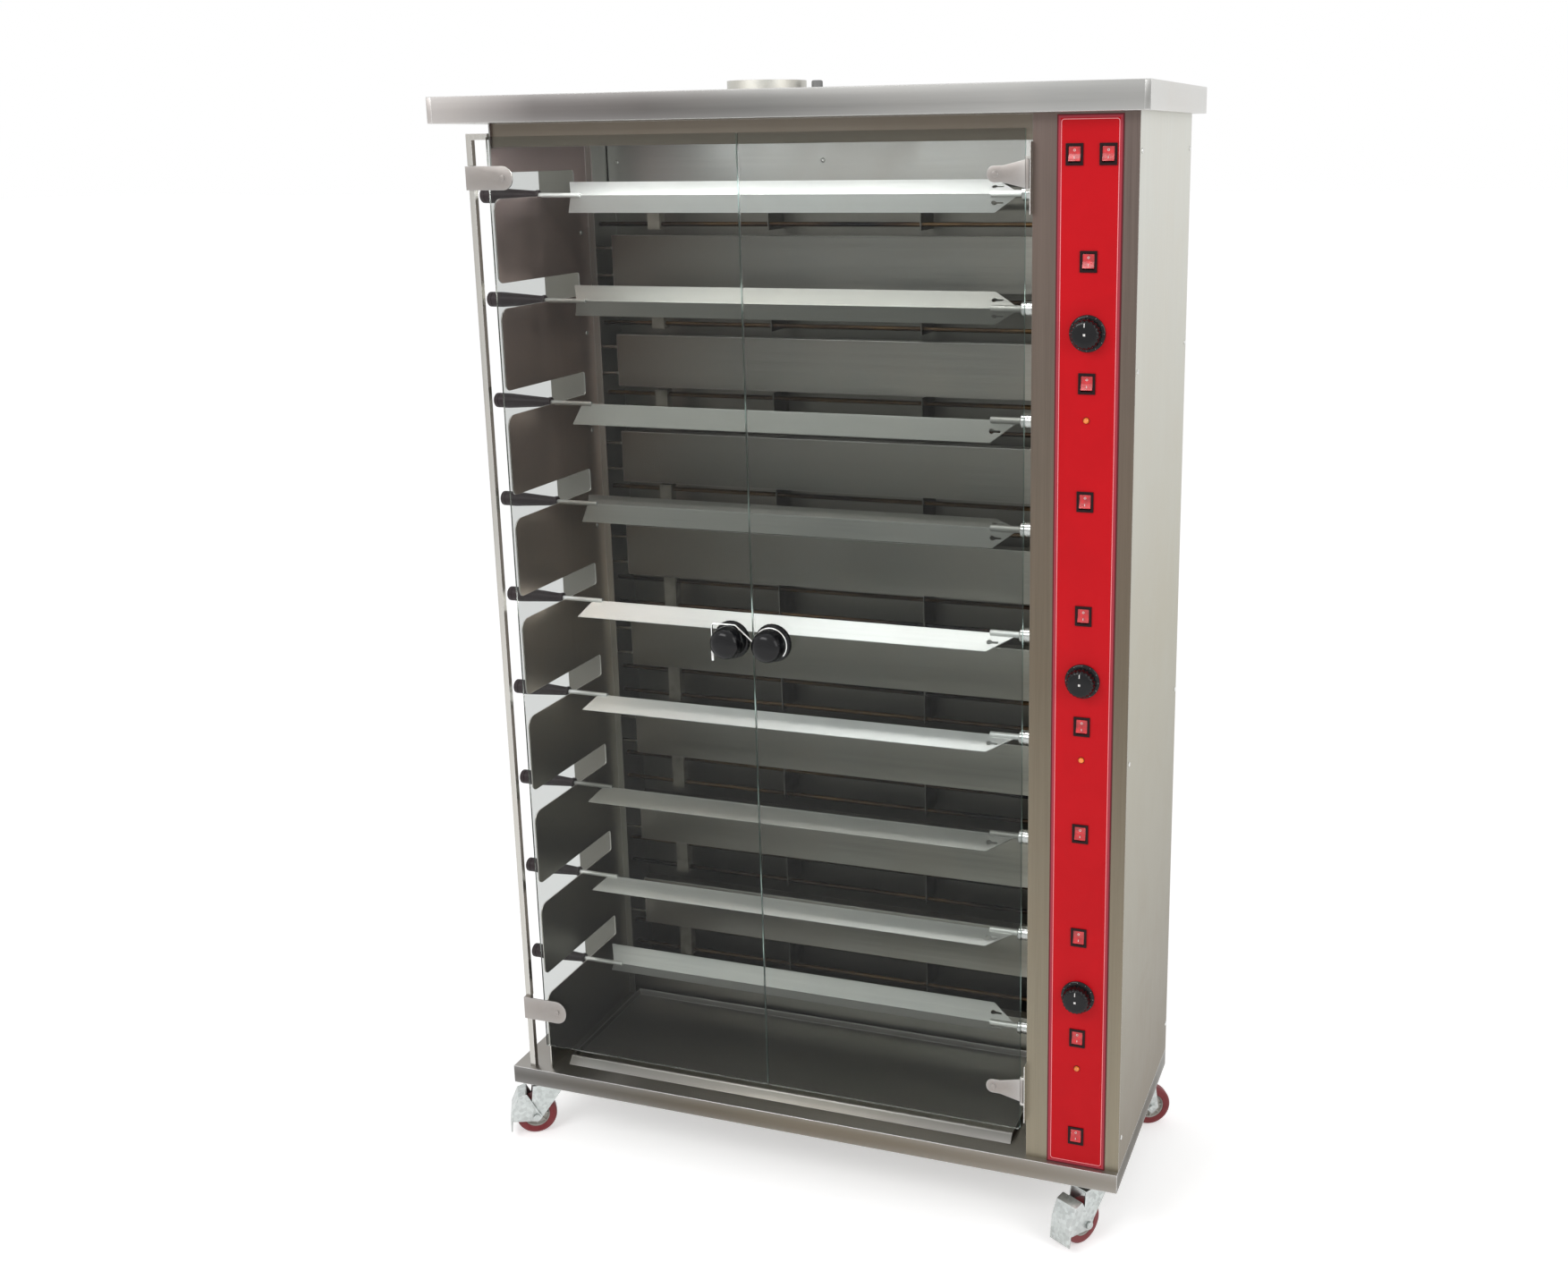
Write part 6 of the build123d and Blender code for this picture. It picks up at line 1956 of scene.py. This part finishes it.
@dataclass
class Stage:
    """Floor, light and camera."""

    camera_place: Point = (1.069047, -2.681453, 1.787254)
    camera_turns: Point = (-0.2446, 0.014, 0.3411)
    focal_pixels: float = 1926.556
    picture: tuple[int, int] = (1753, 1421)
    centre: tuple[float, float] = (990.31, 641.66)
    floor_half: float = 60.0

    def set_camera(self) -> None:
        """Makes the camera from the solved view of the photograph."""
        tilt, roll, pan = self.camera_turns
        look = (
            Matrix.Rotation(pan, 4, "Z")
            @ Matrix.Rotation(tilt, 4, "X")
            @ Matrix.Rotation(roll, 4, "Y")
            @ Matrix.Rotation(math.radians(90), 4, "X")
        )
        width, height = self.picture
        data = bpy.data.cameras.new("camera")
        data.sensor_fit, data.sensor_width = "HORIZONTAL", 36.0
        data.lens = 36.0 * self.focal_pixels / width
        data.shift_x = (width / 2 - self.centre[0]) / width
        data.shift_y = (self.centre[1] - height / 2) / width
        data.clip_start, data.clip_end = 0.05, 300.0
        camera = linked("camera", data)
        camera.matrix_world = Matrix.Translation(self.camera_place) @ look
        bpy.context.scene.camera = camera

    def set_world(self) -> None:
        """Makes the sky white for the camera and for gloss, and calm for everything else."""
        world = bpy.data.worlds.new("studio")
        bpy.context.scene.world = world
        world.use_nodes = True
        w = Wiring(world.node_tree)
        sky = world.node_tree.nodes["Background"]
        seen = w.rays(*SEEING_RAYS)
        w.feed(sky.inputs["Color"], (1.0, 1.0, 1.0, 1.0))
        w.feed(sky.inputs["Strength"], w.fit(seen, 0.0, 1.0, 0.62, 1.0))

    def lay_floor(self) -> None:
        """Lays the pale floor."""
        half = self.floor_half
        corners = [(-half, -half, 0), (half, -half, 0), (half, half, 0), (-half, half, 0)]
        mesh = bpy.data.meshes.new("floor")
        mesh.from_pydata(corners, [], [(0, 1, 2, 3)])
        s = Surface("floor_pale", Base_Color=(0.93, 0.93, 0.93, 1.0), Roughness=0.9, Specular_IOR_Level=0.1)
        w = s.wiring
        seen = w.rays(*SEEING_RAYS)
        s.set("Emission Color", (1.0, 1.0, 1.0, 1.0))
        s.set("Emission Strength", w.math("MULTIPLY", seen, 0.44))
        mesh.materials.append(s.material)
        linked("floor", mesh)

    def hang_lamp(self, name: str, place: Point, aim: Point, size: tuple[float, float], power: float) -> None:
        """Hangs one soft lamp.

        Args:
            name: Name of the lamp.
            place: Its place in metres.
            aim: Point that it faces.
            size: Its width and height in metres.
            power: Its power in watts.
        """
        data = bpy.data.lights.new(name, "AREA")
        data.shape, data.size, data.size_y, data.energy = "RECTANGLE", size[0], size[1], power
        facing = (Vector(aim) - Vector(place)).to_track_quat("-Z", "Y")
        linked(name, data).matrix_world = Matrix.Translation(place) @ facing.to_matrix().to_4x4()

    def build(self) -> None:
        """Sets the whole stage."""
        self.set_camera()
        self.set_world()
        self.lay_floor()
        self.hang_lamp("key", (-1.6, -3.4, 3.6), (0.0, 0.0, 1.0), (2.4, 1.6), 60.0)
        self.hang_lamp("fill", (3.2, -1.6, 2.4), (0.4, 0.0, 1.0), (1.6, 2.2), 26.0)
        self.hang_lamp("cavity", (-0.03, -0.12, 1.80), (-0.03, -0.02, 1.2), (0.8, 0.05), 3.0)
        view = bpy.context.scene.view_settings
        view.view_transform = "Standard"


def main() -> None:
    """Builds every sub-assembly in order, then the stage."""
    logging.basicConfig(level=logging.INFO, format="%(name)s: %(message)s")
    rules = Rules()
    Stage().build()
    Cabinet(rules).build()
    ControlColumn(rules).build()
    SpitSet().build()
    Doors(rules).build()
    Casters(rules).build()
    softened("drip_tray", "drip_tray_folded", "tray", FINISH.tray, 0.4)


if __name__ == "__main__":
    main()
